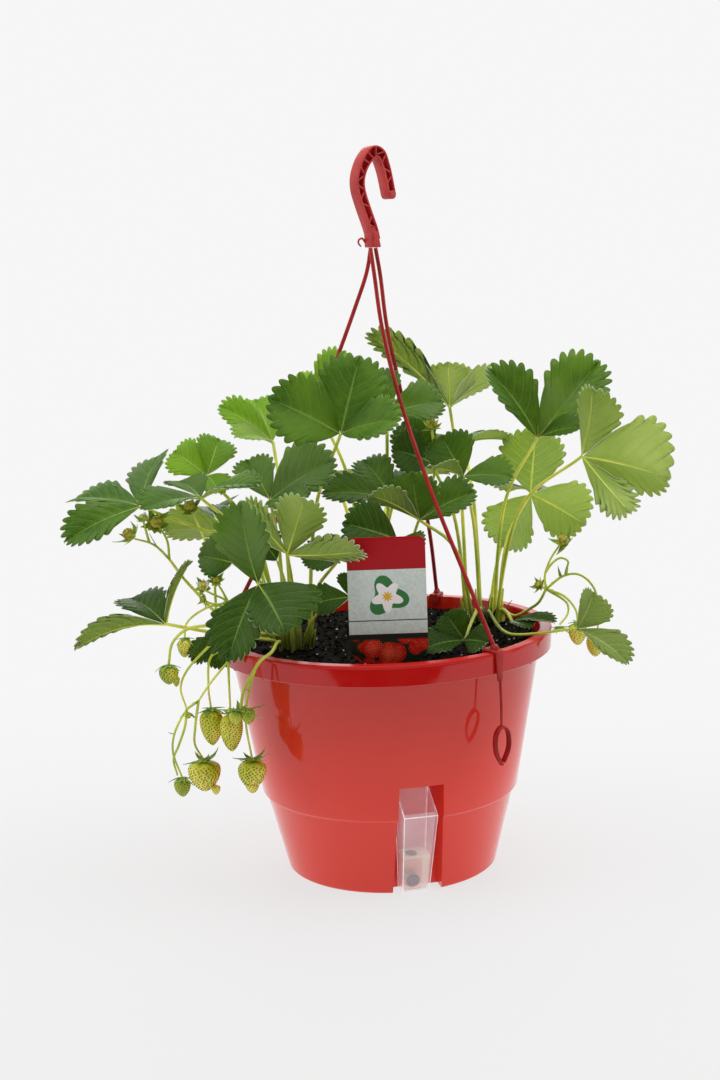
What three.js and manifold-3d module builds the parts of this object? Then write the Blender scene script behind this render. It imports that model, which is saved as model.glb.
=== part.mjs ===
// Potted strawberry plant in a red hanging pot, with its water trough, plant tag and plastic hanger.
// Millimetres, +Z up. The origin is the middle of the pot's underside, and the front faces -Y.

import * as THREE from "three";
import { mergeVertices } from "three/addons/utils/BufferGeometryUtils.js";
import Module from "manifold-3d";

const wasm = await Module();
wasm.setup();

// ---------------------------------------------------------------- driving dimensions

const GAP = 0.3;                 // kept between pieces that touch

const POT_HEIGHT = 196;
const BASE_RADIUS = 86;
const LEDGE_HEIGHT = 66;         // the wall steps out here
const BELOW_LEDGE_RADIUS = 101.8;
const ABOVE_LEDGE_RADIUS = 105.2;
const UNDER_LIP_RADIUS = 128;
const RIM_RADIUS = 136;
const RIM_DROP = 16.5;
const WALL = 1.6;
const POT_SIDES = 40;

const NOTCH_TURN = THREE.MathUtils.degToRad(13);   // from -Y towards +X
const NOTCH_TOP = 93;
const NOTCH_HALF_TOP = 17.5;
const NOTCH_HALF_BOTTOM = 20;
const NOTCH_BACK = 70;           // from the pot's axis
const FEED_HOLE_RADIUS = 5.5;
const FEED_HOLE_HEIGHT = 9;

const TROUGH_WALL = 1.2;
const TROUGH_SHIFT = -2.3;       // off the notch's middle
const WATER_LEVEL = 34;

const SOIL_TOP = 190;
const CROWNS = { left: [-72, -28], right: [82, 50], middle: [-4, 42] };
const STALK_FOOT = 185;          // the stalks' lower ends, in a plain hole round each crown
const CROWN_RADIUS = 8;
const PIT_RADIUS = 22.5;

const TAG_THICKNESS = 0.8;
const HOOK_DEPTH = 11;
const HOOK_BAND = 7;
const HOOK_SWELL = 2.2;            // how much wider the band is at the top of its bend
const HOOK_FOOT = 508;           // height of the block that the three strands leave
const HOOK_TURN = THREE.MathUtils.degToRad(36);
const STRAND_RADIUS = 1.6;
const BLADE_THICKNESS = 0.9;
const STALKLET = 1.6;            // width of a leaflet where it leaves the hub
const HUB_RADIUS = 2.6;          // the small swelling where a leaf's leaflets meet
const NODE_RADIUS = 2.2;         // the swelling where a fruit stalk branches
const SEPALS = 4;

// ---------------------------------------------------------------- materials

const FINISH = {
  red: { color: 0xc9453c, roughness: 0.25, metalness: 0 },
  darkRed: { color: 0xb03030, roughness: 0.4, metalness: 0 },
  clear: { color: 0xe8e0e4, roughness: 0.15, metalness: 0, transparent: true, opacity: 0.35 },
  water: { color: 0xe6d9bd, roughness: 0.05, metalness: 0, transparent: true, opacity: 0.5 },
  soil: { color: 0x1f1a17, roughness: 0.95, metalness: 0 },
  card: { color: 0xdfe5df, roughness: 0.4, metalness: 0 },
  leaf: { color: 0x3f7a2c, roughness: 0.55, metalness: 0 },
  brightLeaf: { color: 0x78b030, roughness: 0.55, metalness: 0 },
  stem: { color: 0x8fb04a, roughness: 0.6, metalness: 0 },
  berry: { color: 0xc6cc72, roughness: 0.45, metalness: 0 },
};

// ---------------------------------------------------------------- helpers

const v3 = (p) => new THREE.Vector3(...p);
const group = new THREE.Group();

// A closed three.js geometry as a solid, with its faces turned outward.
function solid(geometry) {
  const bare = geometry.clone();
  bare.deleteAttribute("normal");
  bare.deleteAttribute("uv");
  const merged = mergeVertices(bare, 1e-4);
  const vertices = new Float32Array(merged.attributes.position.array);
  const triangles = new Uint32Array(merged.index.array);
  const make = () => new wasm.Manifold(new wasm.Mesh({
    numProp: 3, vertProperties: vertices, triVerts: triangles,
  }));
  const body = make();
  if (body.volume() > 0) return body;
  for (let i = 0; i < triangles.length; i += 3) {
    [triangles[i], triangles[i + 1]] = [triangles[i + 1], triangles[i]];
  }
  return make();
}

const joined = (bodies) => bodies.reduce((all, body) => all.add(body));

// Adds a solid to the model as one named mesh.
function piece(name, body, finish) {
  const mesh = body.getMesh();
  const geometry = new THREE.BufferGeometry();
  geometry.setAttribute("position", new THREE.BufferAttribute(mesh.vertProperties, 3));
  geometry.setIndex(new THREE.BufferAttribute(mesh.triVerts, 1));
  geometry.computeVertexNormals();
  const part = new THREE.Mesh(geometry, new THREE.MeshStandardMaterial(FINISH[finish]));
  part.name = name;
  group.add(part);
  return part;
}

// A ring-shaped or full body of revolution about +Z, from [radius, height] pairs.
function turned(profile, sides) {
  const points = profile.map(([radius, height]) => new THREE.Vector2(radius, height));
  return solid(new THREE.LatheGeometry(points, sides).rotateX(Math.PI / 2));
}

// A round rod along a smooth curve through the given points.
function rod(points, radius, sides = 6, steps = 3 * (points.length - 1)) {
  const outline = new THREE.Shape();
  for (let i = 0; i < sides; i++) {
    const angle = (2 * Math.PI * i) / sides;
    const at = [radius * Math.cos(angle), radius * Math.sin(angle)];
    if (i === 0) outline.moveTo(...at);
    else outline.lineTo(...at);
  }
  outline.closePath();
  const path = new THREE.CatmullRomCurve3(points.map(v3), false, "centripetal");
  return solid(new THREE.ExtrudeGeometry(outline, { steps, extrudePath: path, bevelEnabled: false }));
}

// A six-faced block from the four corners of its underside and the four of its top.
function block(under, top) {
  const box = new THREE.BoxGeometry(2, 2, 2);
  const place = box.attributes.position;
  for (let i = 0; i < place.count; i++) {
    const right = place.getX(i) > 0;
    const back = place.getY(i) > 0;
    const corner = back ? (right ? 2 : 3) : (right ? 1 : 0);
    place.setXYZ(i, ...(place.getZ(i) > 0 ? top : under)[corner]);
  }
  return solid(box);
}

// A flat outline in the XZ plane of a front view, given a thickness along Y.
function slab(outline, front, thickness) {
  const shape = new THREE.Shape(outline.map(([x, z]) => new THREE.Vector2(x, z)));
  const geometry = new THREE.ExtrudeGeometry(shape, { depth: thickness, bevelEnabled: false });
  return solid(geometry.rotateX(Math.PI / 2).translate(0, front + thickness, 0));
}

const toNotch = new THREE.Matrix4().makeRotationZ(NOTCH_TURN);
const turnedToNotch = (body) => body.transform(toNotch.elements);

// ---------------------------------------------------------------- pot

const potOutline = [
  [BASE_RADIUS, 0], [BELOW_LEDGE_RADIUS, LEDGE_HEIGHT - 2.5], [ABOVE_LEDGE_RADIUS, LEDGE_HEIGHT],
  [UNDER_LIP_RADIUS, POT_HEIGHT - WALL],
];

// The recess in the front of the pot, grown by `grow` on every side and reaching out past the wall.
function notchBlock(grow) {
  const back = -(NOTCH_BACK - grow);
  const front = -(RIM_RADIUS + 10);
  const low = NOTCH_HALF_BOTTOM + grow;
  const high = NOTCH_HALF_TOP + grow;
  const top = NOTCH_TOP + grow;
  return turnedToNotch(block(
    [[-low, front, -5], [low, front, -5], [low, back, -5], [-low, back, -5]],
    [[-high, front, top], [high, front, top], [high, back, top], [-high, back, top]],
  ));
}

function pot() {
  const inside = potOutline.map(([radius, height]) => [radius - WALL, height + 2]).reverse();
  inside[0][1] = POT_HEIGHT;
  const shell = turned([
    [0, 0], ...potOutline,
    [RIM_RADIUS - WALL, POT_HEIGHT - WALL], [RIM_RADIUS - WALL - 1, POT_HEIGHT - RIM_DROP],
    [RIM_RADIUS - 1, POT_HEIGHT - RIM_DROP], [RIM_RADIUS, POT_HEIGHT - 1], [RIM_RADIUS - 1, POT_HEIGHT],
    ...inside, [0, 2],
  ], POT_SIDES);
  const full = turned([[0, 0], ...potOutline, [0, POT_HEIGHT - WALL]], POT_SIDES);
  const hole = new THREE.CylinderGeometry(FEED_HOLE_RADIUS, FEED_HOLE_RADIUS, 20, 16);
  hole.translate(0, -NOTCH_BACK, FEED_HOLE_HEIGHT);
  const feedHole = turnedToNotch(solid(hole));
  return shell.add(full.intersect(notchBlock(WALL))).subtract(notchBlock(0)).subtract(feedHole);
}

// ---------------------------------------------------------------- water trough

// The trough's space, from its outer faces inward by `inset`.
function troughBlock(inset, top) {
  const x = TROUGH_SHIFT;
  const low = 11 - inset;
  const high = 13.5 - inset;
  const under = 0.8 + inset;
  const backLow = -73 - inset;
  const frontLow = -88 + inset;
  const backHigh = -83 - inset;
  const frontHigh = -113 + inset;
  const backTop = top ? 87 : 95;
  const frontTop = top ? 70 : 78;
  return [
    [[x - low, frontLow, under], [x + low, frontLow, under], [x + low, backLow, under],
      [x - low, backLow, under]],
    [[x - high, frontHigh, frontTop], [x + high, frontHigh, frontTop], [x + high, backHigh, backTop],
      [x - high, backHigh, backTop]],
  ];
}

function trough() {
  return turnedToNotch(block(...troughBlock(0, true)).subtract(block(...troughBlock(TROUGH_WALL, false))));
}

function troughWater() {
  const space = block(...troughBlock(TROUGH_WALL + GAP, false));
  const above = solid(new THREE.BoxGeometry(400, 400, 200).translate(0, 0, WATER_LEVEL + 100));
  return turnedToNotch(space.subtract(above));
}

// ---------------------------------------------------------------- tag

const TAG_BACK = -92;
const tagOutline = [
  [-27, 283], [-24, 286], [29, 286], [33, 282], [33, 196], [26, 188], [9, 186], [6, 150], [0, 146],
  [-5, 150], [-8, 186], [-22, 188], [-27, 196],
];

const tag = (grow) => slab(
  tagOutline.map(([x, z]) => [x + grow * Math.sign(x - 3), z + grow * Math.sign(z - 200)]),
  TAG_BACK - TAG_THICKNESS - grow, TAG_THICKNESS + 2 * grow,
);

// ---------------------------------------------------------------- hanger

// The hook's middle line, as [sideways, up] from the middle of its foot.
const hookLine = [
  [0, 0], [-1.5, 7], [-4, 14], [-9, 27], [-12.5, 38], [-13, 46], [-10.5, 55], [-5.5, 63.5], [1.5, 69],
  [8, 66.5], [12, 57], [14.7, 46], [17, 34.5],
];

const toHook = new THREE.Matrix4().makeRotationZ(HOOK_TURN);
toHook.setPosition(1.4, 0, HOOK_FOOT);

const hookPath = new THREE.CatmullRomCurve3(hookLine.map(([x, z]) => v3([x, 0, z])), false, "centripetal");

// How far inside its middle line the hook's inner edge runs, at a share of its length.
const hookInside = (share) => HOOK_BAND / 2 + HOOK_SWELL * Math.exp(-(((share - 0.66) / 0.14) ** 2));

// A band along the hook, from `outer` to `inner` outside its middle line at each share of its length.
function hookBand(outer, inner, depth) {
  const count = 13;
  const left = [];
  const right = [];
  for (let i = 0; i <= count; i++) {
    const share = i / count;
    const at = hookPath.getPoint(share);
    const along = hookPath.getTangent(share);
    const place = (offset) => [at.x - along.z * offset, at.z + along.x * offset];
    left.push(place(outer(share)));
    right.push(place(inner(share)));
  }
  return slab([...left, ...right.reverse()], -depth / 2, depth);
}

function hook() {
  const flange = 1.3;
  const edge = HOOK_BAND / 2;
  const bodies = [
    hookBand(() => edge, () => edge - flange, HOOK_DEPTH),
    hookBand((share) => flange - hookInside(share), (share) => -hookInside(share), HOOK_DEPTH),
    hookBand(() => edge - 0.2, (share) => 0.2 - hookInside(share), 2),
  ];
  const ribs = 8;
  for (let i = 1; i < ribs; i++) {
    const at = hookPath.getPoint(i / ribs);
    const along = hookPath.getTangent(i / ribs);
    const lean = Math.atan2(along.z, along.x) + (i % 2 ? 0.75 : -0.75) + Math.PI / 2;
    const inside = hookInside(i / ribs);
    const rib = new THREE.BoxGeometry(edge + inside - 0.2, HOOK_DEPTH - 1, 1).rotateY(-lean);
    const middle = (edge - inside) / 2;
    bodies.push(solid(rib.translate(at.x - along.z * middle, 0, at.z + along.x * middle)));
  }
  const foot = block(
    [[-4.5, -5.5, -6], [4.5, -5.5, -6], [4.5, 5.5, -6], [-4.5, 5.5, -6]],
    [[-4.7, -5.5, 6], [1.8, -5.5, 6], [1.8, 5.5, 6], [-4.7, 5.5, 6]],
  );
  bodies.push(foot);
  bodies.push(solid(new THREE.CylinderGeometry(edge, edge, HOOK_DEPTH, 10)
    .translate(hookLine[12][0], 0, hookLine[12][1])));
  bodies.push(rod([[-4.2, 4.3, -2], [-6.8, 4.9, 1.3], [-9.5, 5.7, 0], [-9.9, 5.4, -2.5], [-8.8, 3.9, -5]], 0.8));
  return joined(bodies).transform(toHook.elements);
}

// The clip that holds a strand on the pot's rim, made at azimuth 0 and turned to its place.
function clip(azimuth) {
  const out = RIM_RADIUS + GAP;
  const inner = UNDER_LIP_RADIUS - WALL - 2.4;
  const top = POT_HEIGHT + GAP;
  const half = 4.2;
  const over = solid(new THREE.BoxGeometry(out + 1.8 - (inner - 1.8), 2 * half, 2.2)
    .translate((out + inner) / 2, 0, top + 1.1));
  const outside = block(
    [[out, -2.6, POT_HEIGHT - 22], [out + 1.8, -2.6, POT_HEIGHT - 22], [out + 1.8, 2.6, POT_HEIGHT - 22],
      [out, 2.6, POT_HEIGHT - 22]],
    [[out, -half, top + 1], [out + 1.8, -half, top + 1], [out + 1.8, half, top + 1], [out, half, top + 1]],
  );
  const inside = solid(new THREE.BoxGeometry(1.8, 2 * half, 8).translate(inner - 0.9, 0, top - 3));
  const knob = solid(new THREE.CylinderGeometry(4.4, 4.4, 5, 10).rotateX(Math.PI / 2)
    .translate(RIM_RADIUS - 4, 0, top + 2.6));
  const turn = new THREE.Matrix4().makeRotationZ(azimuth);
  return joined([over, outside, inside, knob]).transform(turn.elements);
}

const strandRoutes = {
  left: [[-0.4, 1.5, 501.6], [-4.2, 1, 483], [-14.6, -1, 455], [-33, -5, 410], [-62, -10, 345],
    [-92, -15, 270], [-130, -20.5, 199]],
  front: [[-0.6, -3.2, 501.6], [1.8, -6, 480], [6.3, -15, 440], [18, -31, 385], [40, -57, 314],
    [62, -80, 255], [82, -101, 202]],
  back: [[3.4, 4, 501.6], [6.4, 8, 480], [10.2, 18, 440], [20, 37, 385], [33, 65, 314], [42, 93, 255],
    [47, 122, 202]],
};
const strandAzimuths = { left: 189, front: -51, back: 69 };

function strand(side) {
  const azimuth = THREE.MathUtils.degToRad(strandAzimuths[side]);
  const bodies = [rod(strandRoutes[side], STRAND_RADIUS, 6, 13), clip(azimuth)];
  if (side === "front") bodies.push(...spareLoop(azimuth));
  return joined(bodies);
}

// The unused end of the front strand: a thin tail and a drop-shaped loop.
function spareLoop(azimuth) {
  const reach = RIM_RADIUS + 1.4;
  const turn = new THREE.Matrix4().makeRotationZ(azimuth);
  const tail = rod([[reach, 0, 176], [reach, 0.5, 156], [reach - 1, 1, 137]], 1.1, 6, 4);
  const outline = [
    [-1.5, 110], [-5.5, 117], [-6.8, 126], [-5, 134], [0, 138], [5.5, 135], [7.5, 127], [6, 118], [2, 110],
  ].map(([aside, height]) => [reach - 1, 1 + aside, height]);
  const loop = rod(outline, 1.3, 5, 14);
  return [tail, loop].map((body) => body.transform(turn.elements));
}

// ---------------------------------------------------------------- leaves

// Half the width of a leaflet's outline at `along` (0 at its base, 1 at its tip), as a share.
const leafletShape = (along) => (along ** 0.95 * (1 - along) ** 0.5) / 0.3865;

// One serrated leaflet, split at its rib, folded up along it and arched from base to tip. A skew
// above 0 widens the half on the left of its rib, seen from above with the tip ahead.
function leaflet(base, { tip, width, face, fold = 0.3, arch = 0.06, skew = 0 }) {
  const teeth = width < 30 ? 2 : width < 46 ? 3 : 4;
  const ahead = v3(tip).sub(v3(base)).normalize();
  const start = v3(base).addScaledVector(ahead, HUB_RADIUS / 3);
  const length = start.distanceTo(v3(tip));
  const up = v3(face);
  up.addScaledVector(ahead, -up.dot(ahead)).normalize();
  const side = new THREE.Vector3().crossVectors(up, ahead);
  const onBlade = (along, across, lift) => start.clone()
    .addScaledVector(ahead, along * length)
    .addScaledVector(side, across * Math.cos(fold))
    .addScaledVector(up, Math.abs(across) * Math.sin(fold) + 4 * arch * length * along * (1 - along) + lift);

  const edge = [[0, STALKLET / 2]];
  for (let i = 0; i < 2 * teeth; i++) {
    const along = 0.16 + (0.76 * i) / (2 * teeth - 1);
    const isTooth = i % 2 === 1;
    edge.push([along + (isTooth ? 0.035 : 0), (width / 2) * leafletShape(along) * (isTooth ? 1.04 : 0.86)]);
  }
  edge.push([1, 0]);
  const rib = [[0.1, 0], [0.5, 0], [1, 0]];

  const corners = [];
  const triangle = (a, b, c, flip) => corners.push(...(flip ? [a, c, b] : [a, b, c]));
  const half = BLADE_THICKNESS / 2;
  const tipOf = (line) => line.length - 1;
  for (const hand of [1, -1]) {
    const outer = edge.map(([along, across], i) => [along, hand * across * (i ? 1 - hand * skew : 1)]);
    for (const lift of [half, -half]) {
      const flip = (lift > 0) === (hand > 0);
      let i = 0;
      let j = 0;
      while (i + j < tipOf(outer) + tipOf(rib) - 1) {
        const stepOut = j === tipOf(rib) - 1 || (i < tipOf(outer) - 1 && outer[i + 1][0] <= rib[j + 1][0]);
        const next = stepOut ? outer[i + 1] : rib[j + 1];
        triangle(onBlade(...rib[j], lift), onBlade(...outer[i], lift), onBlade(...next, lift), flip);
        if (stepOut) i += 1;
        else j += 1;
      }
    }
    for (let i = 0; i < tipOf(outer); i++) {
      const [a, b] = [onBlade(...outer[i], half), onBlade(...outer[i + 1], half)];
      const [c, d] = [onBlade(...outer[i + 1], -half), onBlade(...outer[i], -half)];
      triangle(a, b, c, hand < 0);
      triangle(a, c, d, hand < 0);
    }
  }
  // The blunt base, from one edge to the other.
  const [a, b] = [onBlade(0, STALKLET / 2, half), onBlade(0, -STALKLET / 2, half)];
  const [c, d] = [onBlade(0, -STALKLET / 2, -half), onBlade(0, STALKLET / 2, -half)];
  triangle(a, b, onBlade(...rib[0], half), false);
  triangle(d, c, onBlade(...rib[0], -half), true);
  triangle(a, d, c, false);
  triangle(a, c, b, false);

  const geometry = new THREE.BufferGeometry().setFromPoints(corners);
  geometry.setIndex([...corners.keys()]);
  return solid(geometry);
}

// Where a stem stands in the soil: `place` counts round its crown, in twelfths of a turn.
function rootOf(crown, place, ring = 0) {
  const angle = (place * Math.PI) / 6;
  const radius = 12.5 + 6 * ring;
  const [x, y] = CROWNS[crown];
  return [x + radius * Math.cos(angle), y + radius * Math.sin(angle), STALK_FOOT];
}

// A leaf: its stalk from the soil to the hub, and its leaflets from there.
function leaf(name, [crown, place, ring], hub, leaflets, { via, radius = 1.5, finish = "leaf" } = {}) {
  const root = rootOf(crown, place, ring);
  const lean = [0.3, 0.3, 0.68];
  const middle = via ?? root.map((value, i) => value + (hub[i] - value) * lean[i]);
  const foot = [root[0], root[1], root[2] + 12];
  const stalk = rod([root, foot, middle, hub], radius, 3, 5);
  const swelling = solid(new THREE.OctahedronGeometry(HUB_RADIUS, 0).translate(...hub));
  const blades = leaflets.map((blade) => leaflet(hub, blade));
  piece(name, joined([stalk, swelling, ...blades]).simplify(0.1), finish);
}

// ---------------------------------------------------------------- flowers, fruit and crowns

// Pointed sepals in a flat star, its underside at `at`.
function sepals(at, radius) {
  const star = new THREE.Shape();
  for (let i = 0; i < 2 * SEPALS; i++) {
    const angle = (i * Math.PI) / SEPALS;
    const reach = i % 2 ? radius * 0.36 : radius;
    const corner = [reach * Math.cos(angle), reach * Math.sin(angle)];
    if (i === 0) star.moveTo(...corner);
    else star.lineTo(...corner);
  }
  star.closePath();
  return solid(new THREE.ExtrudeGeometry(star, { depth: 1.4, bevelEnabled: false }).translate(...at));
}

// A small green fruit or a flower's heart, in one piece with its stem.
const knob = (at, width) => solid(new THREE.IcosahedronGeometry(width / 2, 0).translate(...at));

// Fruit stalks that share one root, with their sepals and their smallest fruit.
function spray(name, [crown, place, ring], stems, stars, knobs) {
  const root = rootOf(crown, place, ring);
  const bodies = stems.map((stem) => {
    const points = stem[0] === "root" ? [root, [root[0], root[1], root[2] + 9], ...stem.slice(1)] : stem;
    return rod(points, 1.2, 3, Math.round(1.25 * (points.length - 1)));
  });
  for (const [at] of stems.filter((stem) => stem[0] !== "root")) {
    bodies.push(solid(new THREE.OctahedronGeometry(NODE_RADIUS, 0).translate(...at)));
  }
  bodies.push(...stars.map(([at, radius]) => sepals(at, radius)));
  bodies.push(...knobs.map(([at, width]) => knob(at, width)));
  piece(name, joined(bodies).simplify(0.1), "stem");
}

// A berry that hangs point down, just under the sepals at `top`.
function berry(name, top, width, length) {
  const profile = [[0, 1], [0.6, 0.97], [1, 0.68], [0.78, 0.3], [0.3, 0.03], [0, 0]];
  const points = profile.map(([x, z]) => [(x * width) / 2, (z - 1) * length]).reverse();
  piece(name, turned(points, 7).translate(top[0], top[1], top[2] - GAP - 0.1), "berry");
}

// The woody heart that a ring of leaf stalks grows round, with the tips of its sheaths.
function crown(side) {
  const [x, y] = CROWNS[side];
  const bodies = [turned([[0, 0], [CROWN_RADIUS, 0], [CROWN_RADIUS + 1, 9], [3, 13], [0, 14]], 8)];
  for (let i = 0; i < 5; i++) {
    const sheath = new THREE.ConeGeometry(2.2, 15, 4).rotateX(Math.PI / 2).translate(0, 0, 14);
    bodies.push(solid(sheath.translate(4, 0, 0).rotateZ((2 * Math.PI * i) / 5)));
  }
  piece(`crown_${side}`, joined(bodies).translate(x, y, STALK_FOOT), "stem");
}

// ---------------------------------------------------------------- soil

function soil() {
  const inset = WALL + GAP + 0.1;
  const side = potOutline.slice(0, 3).map(([radius, height]) => [radius - inset, height + 2.4]);
  const top = [[UNDER_LIP_RADIUS - inset - 1.6, SOIL_TOP - 3], [84, SOIL_TOP], [0, SOIL_TOP + 2]];
  const tools = Object.values(CROWNS).map(([x, y]) => solid(
    new THREE.CylinderGeometry(PIT_RADIUS, PIT_RADIUS, 20, 12)
      .rotateX(Math.PI / 2).translate(x, y, STALK_FOOT + 9.7)));
  tools.push(tag(GAP), notchBlock(WALL + GAP));
  return turned([[0, 2.4], ...side, ...top], POT_SIDES).subtract(joined(tools));
}

// ---------------------------------------------------------------- the plant

const BRIGHT = { finish: "brightLeaf" };

// Left crown. Each leaflet has its tip, its width and the way its upper side faces.
leaf("leaf_01", ["left", 6, 0], [-189, -30, 307], [
  { tip: [-247, -52, 284], width: 36, face: [0, -0.8, 1] },
  { tip: [-248, 6, 308], width: 36, face: [0, -0.35, 1] },
  { tip: [-178, 20, 340], width: 38, face: [-0.6, -0.9, 0.3] },
]);
leaf("leaf_02", ["left", 4.6, 1], [-142, 36, 321], [
  { tip: [-170, 54, 340], width: 33, face: [-0.2, -1, 0.5] },
  { tip: [-133, 64, 348], width: 33, face: [0.2, -1, 0.4] },
  { tip: [-129, 8, 309], width: 26, face: [0.2, -1, 0.6] },
], BRIGHT);
leaf("leaf_03", ["left", 5.5, 0], [-142, -24, 311], [
  { tip: [-186, -54, 308], width: 36, face: [0, -0.35, 1] },
  { tip: [-163, 14, 319], width: 34, face: [0, -0.2, 1] },
  { tip: [-94, -60, 324], width: 30, face: [0, -0.3, 1] },
]);
leaf("leaf_04", ["left", 3.4, 0], [-86, 32, 347], [
  { tip: [-128, 22, 379], width: 30, face: [-0.5, -0.6, 1] },
  { tip: [-114, -4, 356], width: 32, face: [0, -0.7, 1] },
  { tip: [-101, 60, 380], width: 36, face: [0, -0.8, 1] },
], BRIGHT);
leaf("leaf_05", ["left", 0.2, 0], [-29, -32, 359], [
  { tip: [-83, -54, 391], width: 54, face: [-0.2, -1, 0.5] },
  { tip: [-12, -18, 418], width: 52, face: [0, -1, 0.3] },
  { tip: [18, -60, 371], width: 42, face: [0.2, -0.9, 0.8] },
]);
leaf("leaf_07", ["left", 8.2, 0], [-95, -92, 253], [
  { tip: [-104, -108, 319], width: 42, face: [-0.4, -1, 0.2] },
  { tip: [-118, -122, 201], width: 42, face: [-0.4, -1, 0.4] },
  { tip: [-74, -124, 221], width: 58, face: [0.3, -1, 0.5], skew: -0.25 },
]);
leaf("leaf_08", ["left", 7.4, 0], [-116, -58, 264], [
  { tip: [-142, -66, 272], width: 34, face: [0, -1, 0.5] },
  { tip: [-122, -32, 280], width: 28, face: [0, -0.8, 1] },
]);
leaf("leaf_09", ["left", 9.2, 0], [-73, -70, 271], [
  { tip: [-104, -84, 316], width: 22, face: [-0.6, 1, 0.1] },
  { tip: [-57, -88, 317], width: 38, face: [0.2, 1, 0.4] },
  { tip: [-15, -116, 280], width: 26, face: [0, 0.9, 0.5], arch: -0.02 },
]);
leaf("leaf_10", ["left", 3.9, 1], [-87, -26, 308], [
  { tip: [-34, -36, 339], width: 44, face: [0, -0.9, 0.7], skew: -0.15 },
  { tip: [-106, 0, 337], width: 32, face: [0, -0.9, 0.7] },
  { tip: [-61, -64, 307], width: 34, face: [0, -0.7, 0.9] },
]);
leaf("leaf_23", ["left", 6.7, 0], [-171, -62, 218], [
  { tip: [-240, -76, 204], width: 30, face: [0.1, 0.7, 1], arch: 0.1 },
  { tip: [-150, -50, 265], width: 22, face: [-1, 0.1, 0.3] },
  { tip: [-204, -14, 229], width: 38, face: [0, -0.4, 1] },
], { via: [-126, -56, 207] });
leaf("leaf_24", ["left", 7.1, 1], [-127, -62, 208], [
  { tip: [-151, -74, 191], width: 19, face: [-0.2, -1, 0.4] },
  { tip: [-133, -74, 184], width: 21, face: [0.2, -1, 0.3] },
], { via: [-106, -50, 212], radius: 1.2 });
leaf("leaf_25", ["left", 10.4, 0], [-26, -60, 234], [
  { tip: [-57, -66, 230], width: 28, face: [0, -0.9, 0.8] },
  { tip: [-24, -50, 251], width: 22, face: [0, -0.9, 0.8] },
], { radius: 1.2 });
leaf("leaf_26", ["left", 11.2, 0], [-35, -44, 260], [
  { tip: [-63, -52, 264], width: 30, face: [0, -0.8, 0.8] },
  { tip: [-33, -14, 274], width: 24, face: [0, -0.6, 1] },
]);
leaf("leaf_27", ["left", 8.9, 1], [-82, -46, 262], [
  { tip: [-97, -50, 283], width: 28, face: [0, -0.8, 0.8] },
]);
leaf("leaf_29", ["left", 5.1, 1], [-122, 14, 276], [
  { tip: [-178, 18, 280], width: 38, face: [0, 0.9, 0.6] },
  { tip: [-126, 62, 290], width: 38, face: [0, 0.5, 1] },
]);

// Right crown.
leaf("leaf_11", ["right", 8, 1], [31, -36, 289], [
  { tip: [26, -40, 328], width: 42, face: [-0.3, -1, 0.4] },
  { tip: [75, -44, 311], width: 38, face: [0, -0.7, 0.9] },
  { tip: [-8, -62, 314], width: 26, face: [0, 0.8, 1] },
]);
leaf("leaf_15", ["right", 8.7, 0], [68, 4, 317], [
  { tip: [51, 16, 349], width: 42, face: [0, -1, 0.5] },
  { tip: [107, -6, 316], width: 34, face: [0, -0.7, 0.9] },
  { tip: [42, -22, 328], width: 24, face: [0, 0.4, 1] },
]);
leaf("leaf_16", ["right", 6.4, 0], [60, 42, 370], [
  { tip: [-5, 62, 431], width: 25, face: [0, 0.7, 0.7] },
  { tip: [102, 66, 391], width: 36, face: [0, 0.7, 0.7] },
  { tip: [60, 50, 406], width: 46, face: [0, 1, 0.25] },
]);
leaf("leaf_17", ["right", 11.2, 0], [130, 22, 344], [
  { tip: [90, 20, 402], width: 44, face: [0.8, -1, 0.3], fold: 0.5 },
  { tip: [183, 40, 403], width: 47, face: [0.1, -1, 0.4], skew: -0.15 },
  { tip: [164, 0, 354], width: 28, face: [0, -0.6, 1] },
]);
leaf("leaf_18", ["right", 10.5, 1], [161, -20, 333], [
  { tip: [169, -30, 388], width: 44, face: [0.7, 0.7, 0.2], fold: 0.5 },
  { tip: [225, -50, 317], width: 62, face: [0.2, 1, 0.3], skew: 0.28 },
  { tip: [192, -70, 294], width: 25, face: [-0.3, 1, 0.3] },
], { via: [116, 10, 292] });
leaf("leaf_19", ["right", 1, 1], [129, 92, 288], [
  { tip: [136, 100, 342], width: 56, face: [0, 1, 0.3] },
  { tip: [104, 80, 245], width: 50, face: [0, 1, 0.5] },
  { tip: [175, 88, 260], width: 54, face: [0, 1, 0.3] },
], BRIGHT);
leaf("leaf_20", ["right", 9.8, 0], [150, -62, 203], [
  { tip: [165, -50, 229], width: 40, face: [0.8, -1, 0.3], fold: 0.5 },
  { tip: [187, -84, 179], width: 34, face: [0.3, -0.4, 1] },
], { via: [101, -44, 196], radius: 1.3 });
leaf("leaf_21", ["right", 11.1, 1], [104, -3, 197], [
  { tip: [136, -25, 200], width: 24, face: [0, -0.1, 1] },
  { tip: [115, -33, 198], width: 18, face: [0, -0.2, 1] },
], { via: [102, 16, 200] });
leaf("leaf_22", ["right", 9, 1], [62, -62, 197], [
  { tip: [48, -58, 218], width: 29, face: [-0.2, -1, 0.5] },
  { tip: [28, -78, 194], width: 28, face: [0, -0.6, 1] },
  { tip: [80, -74, 197], width: 28, face: [0, -0.8, 0.7] },
], { via: [76, -6, 209] });
leaf("leaf_28", ["right", 7.4, 1], [43, 30, 326], [
  { tip: [11, 18, 339], width: 42, face: [0, -0.9, 0.6] },
  { tip: [21, 38, 359], width: 40, face: [0, -1, 0.4] },
]);

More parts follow.
